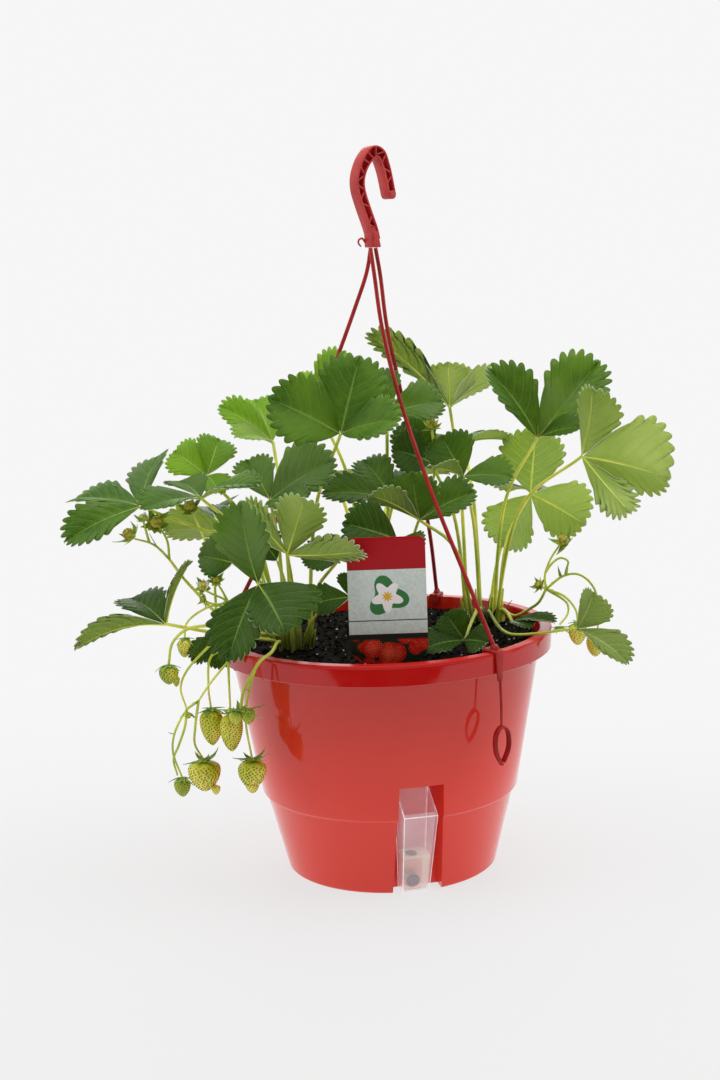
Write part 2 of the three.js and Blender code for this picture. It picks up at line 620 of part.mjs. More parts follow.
// Middle crown.
leaf("leaf_06", ["middle", 5, 0], [-54, 78, 375], [
  { tip: [-74, 92, 392], width: 34, face: [0, -0.8, 1] },
  { tip: [-25, 98, 415], width: 28, face: [0, -1, 0.6] },
  { tip: [-66, 130, 376], width: 44, face: [0, 0, 1] },
], BRIGHT);
leaf("leaf_12", ["middle", 9.6, 0], [11, -4, 301], [
  { tip: [-46, -16, 310], width: 36, face: [0, -0.6, 1] },
  { tip: [27, 30, 316], width: 32, face: [0, -0.6, 1] },
  { tip: [-13, 34, 329], width: 30, face: [0, -0.8, 1] },
]);
leaf("leaf_13", ["middle", 9, 0], [13, -66, 279], [
  { tip: [-29, -70, 294], width: 42, face: [0, -1, 0.5] },
  { tip: [30, -58, 266], width: 30, face: [0, -1, 0.6] },
]);
leaf("leaf_14", ["middle", 1.2, 0], [8, 8, 369], [
  { tip: [54, 12, 377], width: 38, face: [0, -0.9, 0.8] },
  { tip: [0, 32, 402], width: 34, face: [0, -1, 0.4] },
  { tip: [-35, 28, 378], width: 34, face: [0, -0.6, 1] },
]);

// Behind the plant, where the photograph shows little or nothing.
leaf("leaf_31", ["left", 4.5, 0], [-141, 82, 277], [
  { tip: [-184, 106, 274], width: 40, face: [-0.2, 0.2, 1] },
  { tip: [-148, 142, 276], width: 44, face: [-0.2, 0.3, 1] },
]);
leaf("leaf_32", ["middle", 4.2, 1], [-76, 122, 348], [
  { tip: [-118, 140, 344], width: 38, face: [-0.2, 0.3, 1] },
  { tip: [-86, 190, 344], width: 45, face: [-0.1, 0.4, 1] },
  { tip: [-38, 152, 346], width: 42, face: [0, 0.3, 1] },
]);
leaf("leaf_33", ["middle", 2.6, 0], [10, 150, 296], [
  { tip: [-46, 172, 284], width: 46, face: [-0.1, 0.5, 1] },
  { tip: [20, 208, 282], width: 52, face: [0, 0.6, 1] },
  { tip: [62, 146, 300], width: 44, face: [0, 0.2, 1] },
]);
leaf("leaf_34", ["right", 3, 0], [74, 112, 332], [
  { tip: [114, 116, 332], width: 36, face: [0, 0.25, 1] },
  { tip: [70, 180, 320], width: 46, face: [-0.1, 0.5, 1] },
  { tip: [34, 136, 326], width: 40, face: [0, 0.3, 1] },
]);
leaf("leaf_35", ["right", 2, 1], [138, 136, 283], [
  { tip: [172, 178, 270], width: 46, face: [0.3, 0.5, 1] },
  { tip: [116, 188, 276], width: 46, face: [-0.2, 0.6, 1] },
]);

// ---------------------------------------------------------------- fruit

spray("spray_left_upper", ["left", 6.4, 1], [
  ["root", [-114, -42, 208], [-132, -50, 223], [-147, -46, 239], [-157, -42, 250], [-168, -38, 265]],
  [[-168, -38, 265], [-177, -38, 275], [-183, -39, 279], [-194, -42, 283]],
  [[-183, -39, 279], [-187, -40, 298]],
  [[-168, -38, 265], [-169, -38, 280], [-175, -38, 292]],
  [[-132, -50, 223], [-135, -28, 257], [-143, -12, 278], [-152, -6, 299]],
  [[-114, -42, 208], [-121, -64, 234], [-132, -78, 244], [-138, -84, 249]],
  [[-121, -64, 234], [-125, -67, 244], [-129, -68, 251]],
  [[-121, -64, 234], [-130, -80, 236], [-138, -87, 241]],
], [[[-176, -38, 292], 11], [[-138, -84, 248], 8], [[-129, -68, 250], 7]],
[[[-177, -38, 295], 9], [[-198, -43, 287], 14], [[-153, -6, 302], 11], [[-187, -40, 299], 8],
  [[-138, -84, 251], 8], [[-138, -88, 242], 7]]);

spray("spray_left_hanging", ["left", 7.8, 1], [
  ["root", [-104, -66, 206], [-120, -80, 216], [-133, -84, 220], [-152, -84, 218], [-164, -82, 207],
    [-168, -80, 190]],
  [[-104, -66, 206], [-116, -68, 226], [-130, -70, 233], [-144, -70, 228], [-154, -69, 219],
    [-156, -67, 208]],
  [[-104, -66, 206], [-113, -84, 201], [-121, -90, 193], [-137, -87, 174], [-146, -84, 161]],
  [[-146, -84, 161], [-150, -81, 139], [-151, -80, 125], [-145, -80, 113]],
  [[-146, -84, 161], [-156, -80, 153], [-167, -77, 133], [-169, -76, 118], [-163, -76, 98]],
  [[-120, -80, 216], [-139, -78, 200], [-155, -78, 183], [-160, -78, 170], [-156, -80, 154]],
  [[-113, -84, 201], [-134, -81, 196], [-138, -82, 172], [-137, -80, 154]],
  [[-121, -90, 193], [-121, -92, 179], [-121, -92, 153]],
  ["root", [-84, -66, 201], [-88, -94, 199], [-95, -103, 196], [-99, -108, 191], [-109, -112, 173],
    [-111, -113, 161]],
  [[-99, -108, 191], [-105, -104, 173], [-109, -98, 148], [-106, -93, 116]],
], [[[-168, -80, 189], 8], [[-156, -67, 207], 7], [[-137, -80, 153], 10], [[-121, -92, 152], 8],
  [[-145, -80, 112], 12], [[-163, -76, 97], 8], [[-111, -113, 160], 10], [[-106, -93, 115], 12]],
[[[-155, -81, 149], 7]]);

spray("spray_right", ["right", 11.8, 1], [
  ["root", [109, 20, 197], [119, 8, 205], [126, -4, 213], [131, -16, 226]],
  [[131, -16, 226], [130, -18, 237], [134, -20, 250], [143, -21, 264]],
  [[131, -16, 226], [124, -22, 231]],
  [[131, -16, 226], [145, -24, 221], [153, -30, 211], [154, -33, 202]],
  [[131, -16, 226], [145, -15, 236], [157, -15, 237], [168, -18, 228], [173, -22, 207], [170, -24, 190]],
  [[131, -16, 226], [147, -22, 215], [147, -25, 207], [140, -28, 199]],
], [[[154, -33, 201], 8], [[169, -24, 189], 8], [[140, -28, 197], 7]],
[[[145, -21, 266], 13], [[124, -22, 231], 8]]);

spray("spray_middle", ["middle", 0.4, 0], [
  ["root", [26, 36, 262], [46, 22, 322], [44, 14, 354]],
], [[[44, 14, 354], 7]], [[[44, 14, 359], 11]]);

berry("berry_1", [-168, -80, 189], 15, 16);
berry("berry_2", [-156, -67, 207], 12.5, 15);
berry("berry_3", [-145, -80, 112], 25, 27);
berry("berry_4", [-163, -76, 97], 13, 15);
berry("berry_5", [-137, -80, 153], 17.5, 29);
berry("berry_6", [-121, -92, 152], 18.5, 30);
berry("berry_7", [-111, -113, 160], 19, 12);
berry("berry_8", [-106, -93, 115], 22.5, 26);
berry("berry_9", [154, -33, 201], 14.5, 18);
berry("berry_10", [169, -24, 189], 14.5, 18);

for (const side of Object.keys(CROWNS)) crown(side);

// ---------------------------------------------------------------- pot, trough, tag and hanger

piece("soil", soil(), "soil");
piece("pot", pot(), "red");
piece("water_trough", trough(), "clear");
piece("trough_water", troughWater(), "water");
piece("plant_tag", tag(0), "card");
piece("hanger_hook", hook(), "darkRed");
for (const side of ["left", "front", "back"]) piece(`hanger_strand_${side}`, strand(side), "darkRed");

export default group;
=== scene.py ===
"""Potted strawberry plant in a red hanging pot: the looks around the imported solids.

Sizes and places are in millimetres, as in the part's source, and become metres where a mesh is made.
The front faces -Y, +X is to the right seen from the front, and the pot's underside is at Z = 0.
"""
import bpy
import math
import numpy as np
import random
from mathutils import Matrix, Vector, noise


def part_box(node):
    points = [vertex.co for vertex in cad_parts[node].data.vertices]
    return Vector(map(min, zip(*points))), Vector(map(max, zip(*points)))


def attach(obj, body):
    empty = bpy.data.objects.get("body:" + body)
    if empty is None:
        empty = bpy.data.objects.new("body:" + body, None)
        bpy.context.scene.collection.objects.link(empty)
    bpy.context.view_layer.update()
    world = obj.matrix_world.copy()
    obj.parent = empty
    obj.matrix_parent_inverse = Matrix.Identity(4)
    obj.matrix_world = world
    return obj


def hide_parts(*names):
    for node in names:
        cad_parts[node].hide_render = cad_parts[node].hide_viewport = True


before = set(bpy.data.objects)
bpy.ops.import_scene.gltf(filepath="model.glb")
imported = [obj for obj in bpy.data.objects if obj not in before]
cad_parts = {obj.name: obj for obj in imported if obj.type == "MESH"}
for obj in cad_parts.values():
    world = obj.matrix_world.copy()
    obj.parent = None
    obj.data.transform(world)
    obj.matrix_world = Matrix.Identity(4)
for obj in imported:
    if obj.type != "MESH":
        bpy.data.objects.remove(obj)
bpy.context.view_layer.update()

MM = 0.001
UP = Vector((0, 0, 1))
FULL_TURN = 2 * math.pi

# ---------------------------------------------------------------- driving dimensions

POT_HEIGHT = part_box("pot")[1].z / MM
RIM_RADIUS = 136
BASE_RADIUS = 86
LEDGE_HEIGHT = 66
BELOW_LEDGE_RADIUS = 101.8
ABOVE_LEDGE_RADIUS = 105.2
UNDER_LIP_RADIUS = 128
RIM_DROP = 16.5
WALL = 1.6
INSIDE_RADIUS = UNDER_LIP_RADIUS - WALL
POT_SIDES = 128
RIM_LUGS = 21

NOTCH_TURN = math.radians(13)
NOTCH_TOP = 93
NOTCH_HALF_TOP = 17.5
NOTCH_HALF_BOTTOM = 20
NOTCH_BACK = 70
FEED_HOLE_RADIUS = 5.5
FEED_HOLE_HEIGHT = 9

TROUGH_WALL = 1.2
TROUGH_SHIFT = -2.3
WATER_LEVEL = 34
WATER_GAP = 0.3

SOIL_TOP = 190
CROWNS = {"left": (-72, -28), "right": (82, 50), "middle": (-4, 42)}
STALK_FOOT = 185

TAG_BACK = -92
TAG_THICKNESS = 0.8
TAG_LEFT, TAG_RIGHT, TAG_TOP, TAG_SHOULDER, TAG_TIP = -27, 33, 286, 192, 146
TAG_CORNER = 5
TAG_HEADER, TAG_RULE, TAG_FRUIT = 261, 221.5, 211     # heights of the printed bands
TAG_BLOSSOM = (3, 240)

HOOK_TURN = math.radians(36)
HOOK_PLACE = (1.4, 0, 508)
HOOK_DEPTH = 11
HOOK_BAND = 7
HOOK_SWELL = 2.2      # how much wider the band is at the top of its bend
HOOK_FLANGE = 1.3
HOOK_STEPS = 72
HOOK_BAYS = 16        # spaces between the ribs along the hook
STRAND_RADIUS = 1.6

HUB_RADIUS = 2.6
VEINS = 8             # steps of the veins along a leaflet, each ending in a tooth of its edge
BLADE = 0.5           # thickness of a leaflet

BACKDROP = 0.925      # brightness of the room behind the plant
ROOM_LIGHT = 0.9      # brightness of the room's back and top as they light the plant
FRONT_LIGHT = 0.25    # and of its camera side
FLOOR_GLOW = 0.75     # share of the floor's brightness that shadows don't touch


# ---------------------------------------------------------------- small tools

def smooth(low, high, value):
    """A share that rises smoothly from 0 at low to 1 at high."""
    share = min(max((value - low) / (high - low), 0), 1)
    return share * share * (3 - 2 * share)


def linked(made):
    """Puts a new object in the scene."""
    bpy.context.scene.collection.objects.link(made)
    return made


def twin(master):
    """A copy of a master piece, with a mesh of its own."""
    made = master.copy()
    made.data = master.data.copy()
    return linked(made)


def only(*objects):
    """Selects these objects and nothing else."""
    bpy.ops.object.select_all(action="DESELECT")
    for thing in objects:
        thing.select_set(True)
    bpy.context.view_layer.objects.active = objects[0]


def mesh_object(name, points, faces, edges=()):
    """A new object from points in millimetres."""
    mesh = bpy.data.meshes.new(name)
    mesh.from_pydata([Vector(p) * MM for p in points], list(edges), faces)
    mesh.update()
    return linked(bpy.data.objects.new(name, mesh))


def edit(thing, *steps):
    """Runs edit-mode operators on all of an object."""
    only(thing)
    bpy.ops.object.mode_set(mode="EDIT")
    bpy.ops.mesh.select_all(action="SELECT")
    for step in steps:
        step()
    bpy.ops.object.mode_set(mode="OBJECT")
    return thing


def outward(thing):
    """Merges doubled points and turns the faces out."""
    return edit(thing, lambda: bpy.ops.mesh.remove_doubles(threshold=0.01 * MM),
                lambda: bpy.ops.mesh.normals_make_consistent(inside=False))


def applied(thing, kind, **settings):
    """Adds a modifier and applies it."""
    only(thing)
    modifier = thing.modifiers.new(kind.lower(), kind)
    for key, value in settings.items():
        setattr(modifier, key, value)
    bpy.ops.object.modifier_apply(modifier=modifier.name)
    return thing


def bevelled(thing, width, segments, angle=30, **settings):
    """Rounds the edges that are sharper than an angle in degrees."""
    return applied(thing, "BEVEL", width=width * MM, segments=segments, limit_method="ANGLE",
                   angle_limit=math.radians(angle), **settings)


def cut(thing, tool, operation="DIFFERENCE"):
    applied(thing, "BOOLEAN", object=tool, operation=operation, solver="EXACT")
    bpy.data.objects.remove(tool)
    return thing


def joined(*things):
    only(*things)
    if len(things) > 1:
        bpy.ops.object.join()
    return things[0]


def rounded(thing):
    """Shades a piece smooth all over."""
    only(thing)
    bpy.ops.object.shade_smooth()
    return thing


def smoothed(thing, degrees):
    """Shades a piece smooth except over edges sharper than an angle."""
    only(thing)
    bpy.ops.object.shade_smooth_by_angle(angle=math.radians(degrees), keep_sharp_edges=False)
    return thing


def painted(thing, *finishes):
    thing.data.materials.clear()
    for finish in finishes:
        thing.data.materials.append(finish)
    return thing


def placed(thing, matrix):
    thing.data.transform(matrix)
    return thing


def finished(thing, name, node):
    """Names a piece, rides it on the pot and lets it stand for its CAD node."""
    thing.name = name
    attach(thing, "root")
    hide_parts(node)


def spun(name, profile, steps):
    """A body of revolution about the pot's axis, from [radius, height] pairs that start and end on it."""
    points = [(radius, 0, height) for radius, height in profile]
    line = mesh_object(name, points, [], [(i, i + 1) for i in range(len(points) - 1)])
    edit(line, lambda: bpy.ops.mesh.spin(steps=steps, angle=FULL_TURN, center=(0, 0, 0), axis=(0, 0, 1)))
    return outward(line)


def corners(left, right, front, back, height, back_height=None):
    """The corners of a block's underside or top, level or sloping from the front to the back."""
    behind = height if back_height is None else back_height
    return [(left, front, height), (right, front, height), (right, back, behind), (left, back, behind)]


def block(name, under, top):
    """A six-faced block from the four corners of its underside and the four of its top."""
    bpy.ops.mesh.primitive_cube_add(size=2)
    made = bpy.context.object
    made.name = name
    for vertex in made.data.vertices:
        right, back = vertex.co.x > 0, vertex.co.y > 0
        corner = (2 if right else 3) if back else (1 if right else 0)
        vertex.co = Vector((top if vertex.co.z > 0 else under)[corner]) * MM
    return outward(made)


def curve_points(points, steps):
    """Points along a smooth centripetal curve through the given ones."""
    knots = [Vector(p) for p in points]
    knots = [2 * knots[0] - knots[1], *knots, 2 * knots[-1] - knots[-2]]
    spans = len(points) - 1
    line = []
    for step in range(steps + 1):
        place = spans * step / steps
        span = min(int(place), spans - 1)
        share = place - span
        p0, p1, p2, p3 = knots[span:span + 4]
        d1, d2, d3 = (max((b - a).length ** 0.5, 1e-4) for a, b in ((p0, p1), (p1, p2), (p2, p3)))
        slope1 = ((p1 - p0) / d1 - (p2 - p0) / (d1 + d2) + (p2 - p1) / d2) * d2
        slope2 = ((p2 - p1) / d2 - (p3 - p1) / (d2 + d3) + (p3 - p2) / d3) * d2
        s2, s3 = share * share, share ** 3
        line.append((2 * s3 - 3 * s2 + 1) * p1 + (s3 - 2 * s2 + share) * slope1
                    + (3 * s2 - 2 * s3) * p2 + (s3 - s2) * slope2)
    return line


def stem(name, line, radius, end_radius, resolution=2):
    """A round tapered stem along a line of points, from a curve that becomes a mesh."""
    data = bpy.data.curves.new(name, "CURVE")
    data.dimensions = "3D"
    data.bevel_depth = radius * MM
    data.bevel_resolution = resolution
    data.use_fill_caps = True
    spline = data.splines.new("POLY")
    last = len(line) - 1
    spline.points.add(last)
    for i, (point, at) in enumerate(zip(spline.points, line)):
        point.co = (*(Vector(at) * MM), 1)
        point.radius = 1 + (end_radius / radius - 1) * i / last
    only(linked(bpy.data.objects.new(name, data)))
    bpy.ops.object.convert(target="MESH")
    return rounded(bpy.context.object)


def copies(name, master, places):
    """One mesh with a copy of the master's mesh at each place."""
    shape = np.array([v.co for v in master.data.vertices])
    faces = [tuple(p.vertices) for p in master.data.polygons]
    points, polygons = [], []
    for place in places:
        base = len(points)
        points.extend(shape @ np.array(place.to_3x3()).T + np.array(place.translation))
        polygons.extend(tuple(base + i for i in face) for face in faces)
    mesh = bpy.data.meshes.new(name)
    mesh.from_pydata(points, [], polygons)
    return linked(bpy.data.objects.new(name, mesh))


def towards(at, direction, width, length):
    """A place for a copy: its point, where its local +Z turns to, and its size, in millimetres."""
    turn = Vector(direction).to_track_quat("Z", "Y").to_matrix().to_4x4()
    size = Matrix.Diagonal((width * MM, width * MM, length * MM, 1))
    return Matrix.Translation(Vector(at) * MM) @ turn @ size


def around(turn, first=Vector((1, 0, 0)), second=Vector((0, 1, 0))):
    """The direction at a turn round an axis, from two directions across it."""
    return first * math.cos(turn) + second * math.sin(turn)


# ---------------------------------------------------------------- finishes

class Nodes:
    """Short ways to add shader nodes. Each gives back one output of its new node."""

    def __init__(self, tree):
        self.tree = tree

    def feed(self, socket, value):
        """Links a socket to an output, or gives it a plain value."""
        if isinstance(value, bpy.types.NodeSocket):
            self.tree.links.new(value, socket)
        else:
            socket.default_value = value

    def node(self, kind, inputs, output=0, **settings):
        made = self.tree.nodes.new("ShaderNode" + kind)
        for key, value in settings.items():
            setattr(made, key, value)
        for key, value in inputs.items():
            self.feed(made.inputs[key], value)
        return made.outputs[output]

    def place(self):
        return self.node("TexCoord", {}, "Object")

    def axis(self, letter, vector=None):
        return self.node("SeparateXYZ", {0: vector or self.place()}, letter)

    def scaled(self, vector, x, y, z, turn=0.0):
        """The vector scaled along each axis, and turned back about Z by an angle."""
        inputs = {"Vector": vector, "Rotation": (0, 0, -turn), "Scale": (x, y, z)}
        return self.node("Mapping", inputs)

    def math(self, operation, first, second=0.0, third=0.0):
        return self.node("Math", {0: first, 1: second, 2: third}, operation=operation)

    def times(self, first, second):
        return self.math("MULTIPLY", first, second)

    def larger(self, first, second):
        return self.math("MAXIMUM", first, second)

    def vector_math(self, operation, first, second=(0, 0, 0), output="Value"):
        return self.node("VectorMath", {0: first, 1: second}, output, operation=operation)

    def noise(self, scale, detail, roughness=0.5):
        inputs = {"Vector": self.place(), "Scale": scale, "Detail": detail, "Roughness": roughness}
        return self.node("TexNoise", inputs)

    def ramp(self, value, low, high, bottom=0.0, top=1.0, kind="SMOOTHSTEP"):
        inputs = {"Value": value, "From Min": low, "From Max": high, "To Min": bottom, "To Max": top}
        return self.node("MapRange", inputs, interpolation_type=kind)

    def patch(self, scale, detail, low, high, bottom=0.0, top=1.0):
        """A share that changes over the surface in patches of a noise."""
        return self.ramp(self.noise(scale, detail), low, high, bottom, top)

    def blend(self, share, first, second):
        inputs = {0: share}
        for socket, value in ((6, first), (7, second)):
            inputs[socket] = value if isinstance(value, bpy.types.NodeSocket) else (*value, 1)
        return self.node("Mix", inputs, 2, data_type="RGBA")

    def layered(self, shade, *layers):
        """A shade with others laid over it, each by its own share."""
        for share, over in layers:
            shade = self.blend(share, shade, over)
        return shade


class Finish(Nodes):
    """A material with one principled shader."""

    def __init__(self, name, **sockets):
        self.material = bpy.data.materials.new(name)
        self.material.use_nodes = True
        super().__init__(self.material.node_tree)
        self.shader = self.tree.nodes["Principled BSDF"]
        self.set(**sockets)

    def set(self, **sockets):
        """Sets or links the shader's sockets, named with _ for each space."""
        for socket, value in sockets.items():
            self.feed(self.shader.inputs[socket.replace("_", " ")], value)

    def colour(self, shade, *layers):
        self.set(Base_Color=self.layered(shade, *layers))

    def bump(self, height, distance, strength):
        inputs = {"Height": height, "Distance": distance * MM, "Strength": strength}
        self.set(Normal=self.node("Bump", inputs))

    def grain(self, scale, detail, distance, strength):
        self.bump(self.noise(scale, detail), distance, strength)


def mottled(name, roughness, spread, first, second, grain=None):
    """A finish whose two shades change over in patches, with a fine grain if one is given."""
    finish = Finish(name, Roughness=roughness)
    finish.colour(first, (finish.patch(*spread), second))
    if grain:
        finish.grain(*grain)
    return finish.material


def pot_plastic(name, specular, roughness):
    """Glossy moulded plastic with faint scuffs and dust; painted shade darkens it towards the rim and on the
    rim, and it has a faint painted glow.
    """
    # A faint red emission: a painted glow, as of light through the thin plastic.
    finish = Finish(name, IOR=1.5, Specular_IOR_Level=specular, Emission_Color=(0.6, 0.0, 0.006, 1),
                    Emission_Strength=0.04)
    height = finish.axis("Z")
    dust = finish.patch(900, 2, 0.76, 0.8, 0.0, 0.35)
    # Painted shade: darker towards the rim, and a deeper red on the rim itself.
    finish.colour((0.8, 0.042, 0.022), (finish.ramp(height, 0.06, 0.19), (0.53, 0.027, 0.014)),
                  (finish.patch(14, 4, 0.35, 0.75, 0.0, 0.14), (0.85, 0.07, 0.04)),
                  (finish.ramp(height, 0.1785, 0.1795), (0.5, 0.008, 0.006)),
                  (dust, (0.75, 0.35, 0.3)))
    finish.set(Roughness=finish.patch(60, 5, 0.35, 0.7, roughness, roughness + 0.07))
    finish.grain(260, 3, 0.03, 0.3)
    return finish.material


def hanger_plastic():
    """Satin moulded plastic with a slight flow streak, paler in the thick hook than in the strands."""
    finish = Finish("hanger_plastic", IOR=1.48, Specular_IOR_Level=0.35)
    streak = finish.patch(45, 4, 0.3, 0.7)
    strand_shade = finish.blend(streak, (0.31, 0.006, 0.006), (0.42, 0.016, 0.013))
    hook_shade = finish.blend(streak, (0.44, 0.02, 0.018), (0.58, 0.045, 0.04))
    finish.colour(strand_shade, (finish.ramp(finish.axis("Z"), 0.49, 0.51), hook_shade))
    finish.set(Roughness=finish.patch(120, 3, 0.3, 0.7, 0.32, 0.48))
    finish.grain(700, 2, 0.04, 0.5)
    return finish.material


def clear_plastic():
    """Thin clear plastic, slightly clouded by handling and lime, with a faint painted glow."""
    # A pale pink emission: a painted glow.
    finish = Finish("clear_plastic", Roughness=0.1, IOR=1.46, Emission_Color=(0.85, 0.72, 0.76, 1),
                    Emission_Strength=0.2)
    finish.colour((0.95, 0.82, 0.87), (finish.patch(55, 5, 0.35, 0.75), (1.0, 0.93, 0.96)))
    finish.set(Alpha=finish.patch(70, 4, 0.3, 0.75, 0.14, 0.2))
    finish.grain(150, 3, 0.06, 0.4)
    return finish.material


def clear_edge():
    """The trough's edges, where the light gathers."""
    finish = Finish("clear_edge", Base_Color=(0.9, 0.86, 0.88, 1), Roughness=0.15, IOR=1.46,
                    Emission_Color=(1.0, 0.94, 0.95, 1), Emission_Strength=0.35)
    finish.set(Alpha=finish.patch(120, 3, 0.3, 0.6, 0.55, 0.95))
    return finish.material


def trough_water():
    """Still water with a tea tint from the peat; the red wall and the dark feed hole behind it are painted in
    as seen through it, with a painted reflection of the hole on its top and a painted glow.
    """
    finish = Finish("water", Roughness=0.05, IOR=1.33, Emission_Strength=0.12)
    turned = finish.scaled(finish.place(), 1 / MM, 1 / MM, 1 / MM, NOTCH_TURN)

    def spot(centre, squash, radius):
        middle = [value * factor for value, factor in zip(centre, squash)]
        squashed = finish.vector_math("MULTIPLY", turned, squash, "Vector")
        away = finish.vector_math("DISTANCE", squashed, middle)
        return finish.ramp(away, radius * 0.8, radius * 1.1, 1.0, 0.0)

    # Painted view through the water: a pink tint low down on one side for the red wall behind it.
    under = finish.math("LESS_THAN", finish.axis("Z", turned), WATER_LEVEL - 3.0)
    aside = finish.ramp(finish.axis("X", turned), TROUGH_SHIFT + 3.5, TROUGH_SHIFT + 5.0, 0.75, 0.0)
    # The dark feed hole painted in as seen through the water, and its painted reflection on the water's top.
    hole = spot((TROUGH_SHIFT - 2.5, 0, FEED_HOLE_HEIGHT + 2), (1, 0, 1), 6.2)
    painted_reflection = spot((TROUGH_SHIFT - 3.5, -90, WATER_LEVEL), (1, 0.7, 2), 5.0)
    dark = finish.larger(hole, painted_reflection)
    shade = finish.layered((0.82, 0.74, 0.52), (finish.patch(60, 3, 0.35, 0.7), (0.92, 0.86, 0.68)),
                           (finish.times(under, aside), (0.8, 0.3, 0.24)), (dark, (0.035, 0.035, 0.045)))
    # The water's own shade also drives a faint emission: a painted glow.
    finish.set(Base_Color=shade, Emission_Color=shade, Alpha=finish.ramp(dark, 0.0, 1.0, 0.4, 0.9))
    return finish.material


def potting_soil():
    """Moist dark peat with brown fibres."""
    finish = Finish("potting_soil", Roughness=0.92, Specular_IOR_Level=0.06)
    clods = finish.ramp(finish.noise(160, 6, 0.65), 0.35, 0.7)
    finish.colour((0.0025, 0.002, 0.0015), (clods, (0.013, 0.009, 0.006)),
                  (finish.patch(520, 3, 0.66, 0.72), (0.09, 0.06, 0.035)))
    finish.bump(finish.noise(420, 5, 0.7), 1.2, 0.9)
    return finish.material


def leaf_blade(name, deep, light, vein, roughness, vein_depth, thin):
    """A leaflet's face: veins on the leaf's own map, a fine net between them, and a mottled green.

    Older leaflets are deeper; young ones have a greyish bloom that is also a painted sheen; the lowest are
    deepened with painted shade.
    """
    finish = Finish(name, Roughness=roughness, IOR=1.45, Specular_IOR_Level=0.2, Subsurface_Weight=thin,
                    Subsurface_Scale=0.004, Subsurface_Radius=(0.8, 1.0, 0.25))
    leaf_map = finish.node("UVMap", {}, uv_map="leaf")
    across = finish.math("ABSOLUTE", finish.math("MULTIPLY_ADD", finish.axis("X", leaf_map), 2.0, -1.0))
    step = finish.math("PINGPONG", finish.times(finish.axis("Y", leaf_map), VEINS), 0.5)
    width = finish.math("MULTIPLY_ADD", across, -0.05, 0.085)
    side_vein = finish.ramp(finish.math("DIVIDE", step, width), 0.35, 1.0, 1.0, 0.0)
    middle_vein = finish.ramp(across, 0.015, 0.05, 1.0, 0.0)
    cells = {"Vector": finish.scaled(leaf_map, 22.0, 46.0, 1.0), "Scale": 1.0}
    net = finish.ramp(finish.node("TexVoronoi", cells, feature="DISTANCE_TO_EDGE"), 0.02, 0.16, 1.0, 0.0)

    age = finish.node("Attribute", {}, "Fac", attribute_name="age")
    deepest = [value * 0.5 for value in deep]
    pale = [value * 0.65 + 0.07 for value in light]
    # The pale shade of the greyish bloom is partly a painted sheen.
    bloom_and_sheen = finish.times(finish.ramp(age, 0.0, 0.5, 0.7, 0.0), finish.patch(19, 2, 0.4, 0.62))
    # Painted shade deepens the lowest leaflets.
    finish.colour(deep, (finish.patch(26, 4, 0.3, 0.72), light),
                  (finish.ramp(age, 0.35, 1.0, 0.0, 0.85), deepest), (bloom_and_sheen, pale),
                  (finish.ramp(finish.axis("Z"), 0.2, 0.33, 0.85, 0.0), deepest),
                  (finish.times(net, 0.12), vein),
                  (finish.larger(finish.times(side_vein, 0.3), middle_vein), vein))

    veins = finish.times(finish.larger(side_vein, middle_vein), vein_depth)
    relief = finish.math("ADD", veins, finish.times(net, vein_depth * 0.35))
    finish.bump(finish.math("ADD", relief, finish.times(finish.noise(1400, 2), 0.25)), 0.35, 0.8)
    return finish.material


def stem_green():
    """Yellow-green hairy stalk, with painted shade that deepens the green where the stalks stand close
    together at the soil.
    """
    finish = Finish("stem_green", Roughness=0.5, Subsurface_Weight=0.2, Subsurface_Scale=0.003)
    flat = finish.vector_math("MULTIPLY", finish.place(), (1, 1, 0), "Vector")
    near = finish.ramp(finish.vector_math("LENGTH", flat), 0.09, 0.11, 1.0, 0.0)
    # Painted shade on the stalks low down near the crowns.
    low_shade = finish.ramp(finish.axis("Z"), 0.188, 0.222, 0.85, 0.0)
    finish.colour((0.42, 0.56, 0.03), (finish.patch(30, 3, 0.3, 0.7), (0.84, 0.88, 0.12)),
                  (finish.times(low_shade, near), (0.05, 0.09, 0.008)))
    finish.grain(900, 2, 0.15, 0.5)
    return finish.material


def plain_noise(name, roughness, scale, detail, first, second, **sockets):
    """A finish whose two shades are mixed softly by a noise."""
    finish = Finish(name, Roughness=roughness, **sockets)
    finish.colour(first, (finish.noise(scale, detail), second))
    return finish.material


def berry_skin(name, green, ripening):
    """Unripe skin in two shades, with a faint blush in places."""
    finish = Finish(name, Roughness=0.38, Subsurface_Weight=0.3, Subsurface_Scale=0.004,
                    Subsurface_Radius=(1.0, 1.0, 0.4))
    blush = finish.patch(33, 2, 0.62, 0.8, 0.0, 0.25)
    finish.colour(green, (finish.patch(48, 3, 0.35, 0.65), ripening), (blush, (0.8, 0.48, 0.16)))
    finish.grain(700, 2, 0.12, 0.4)
    return finish.material


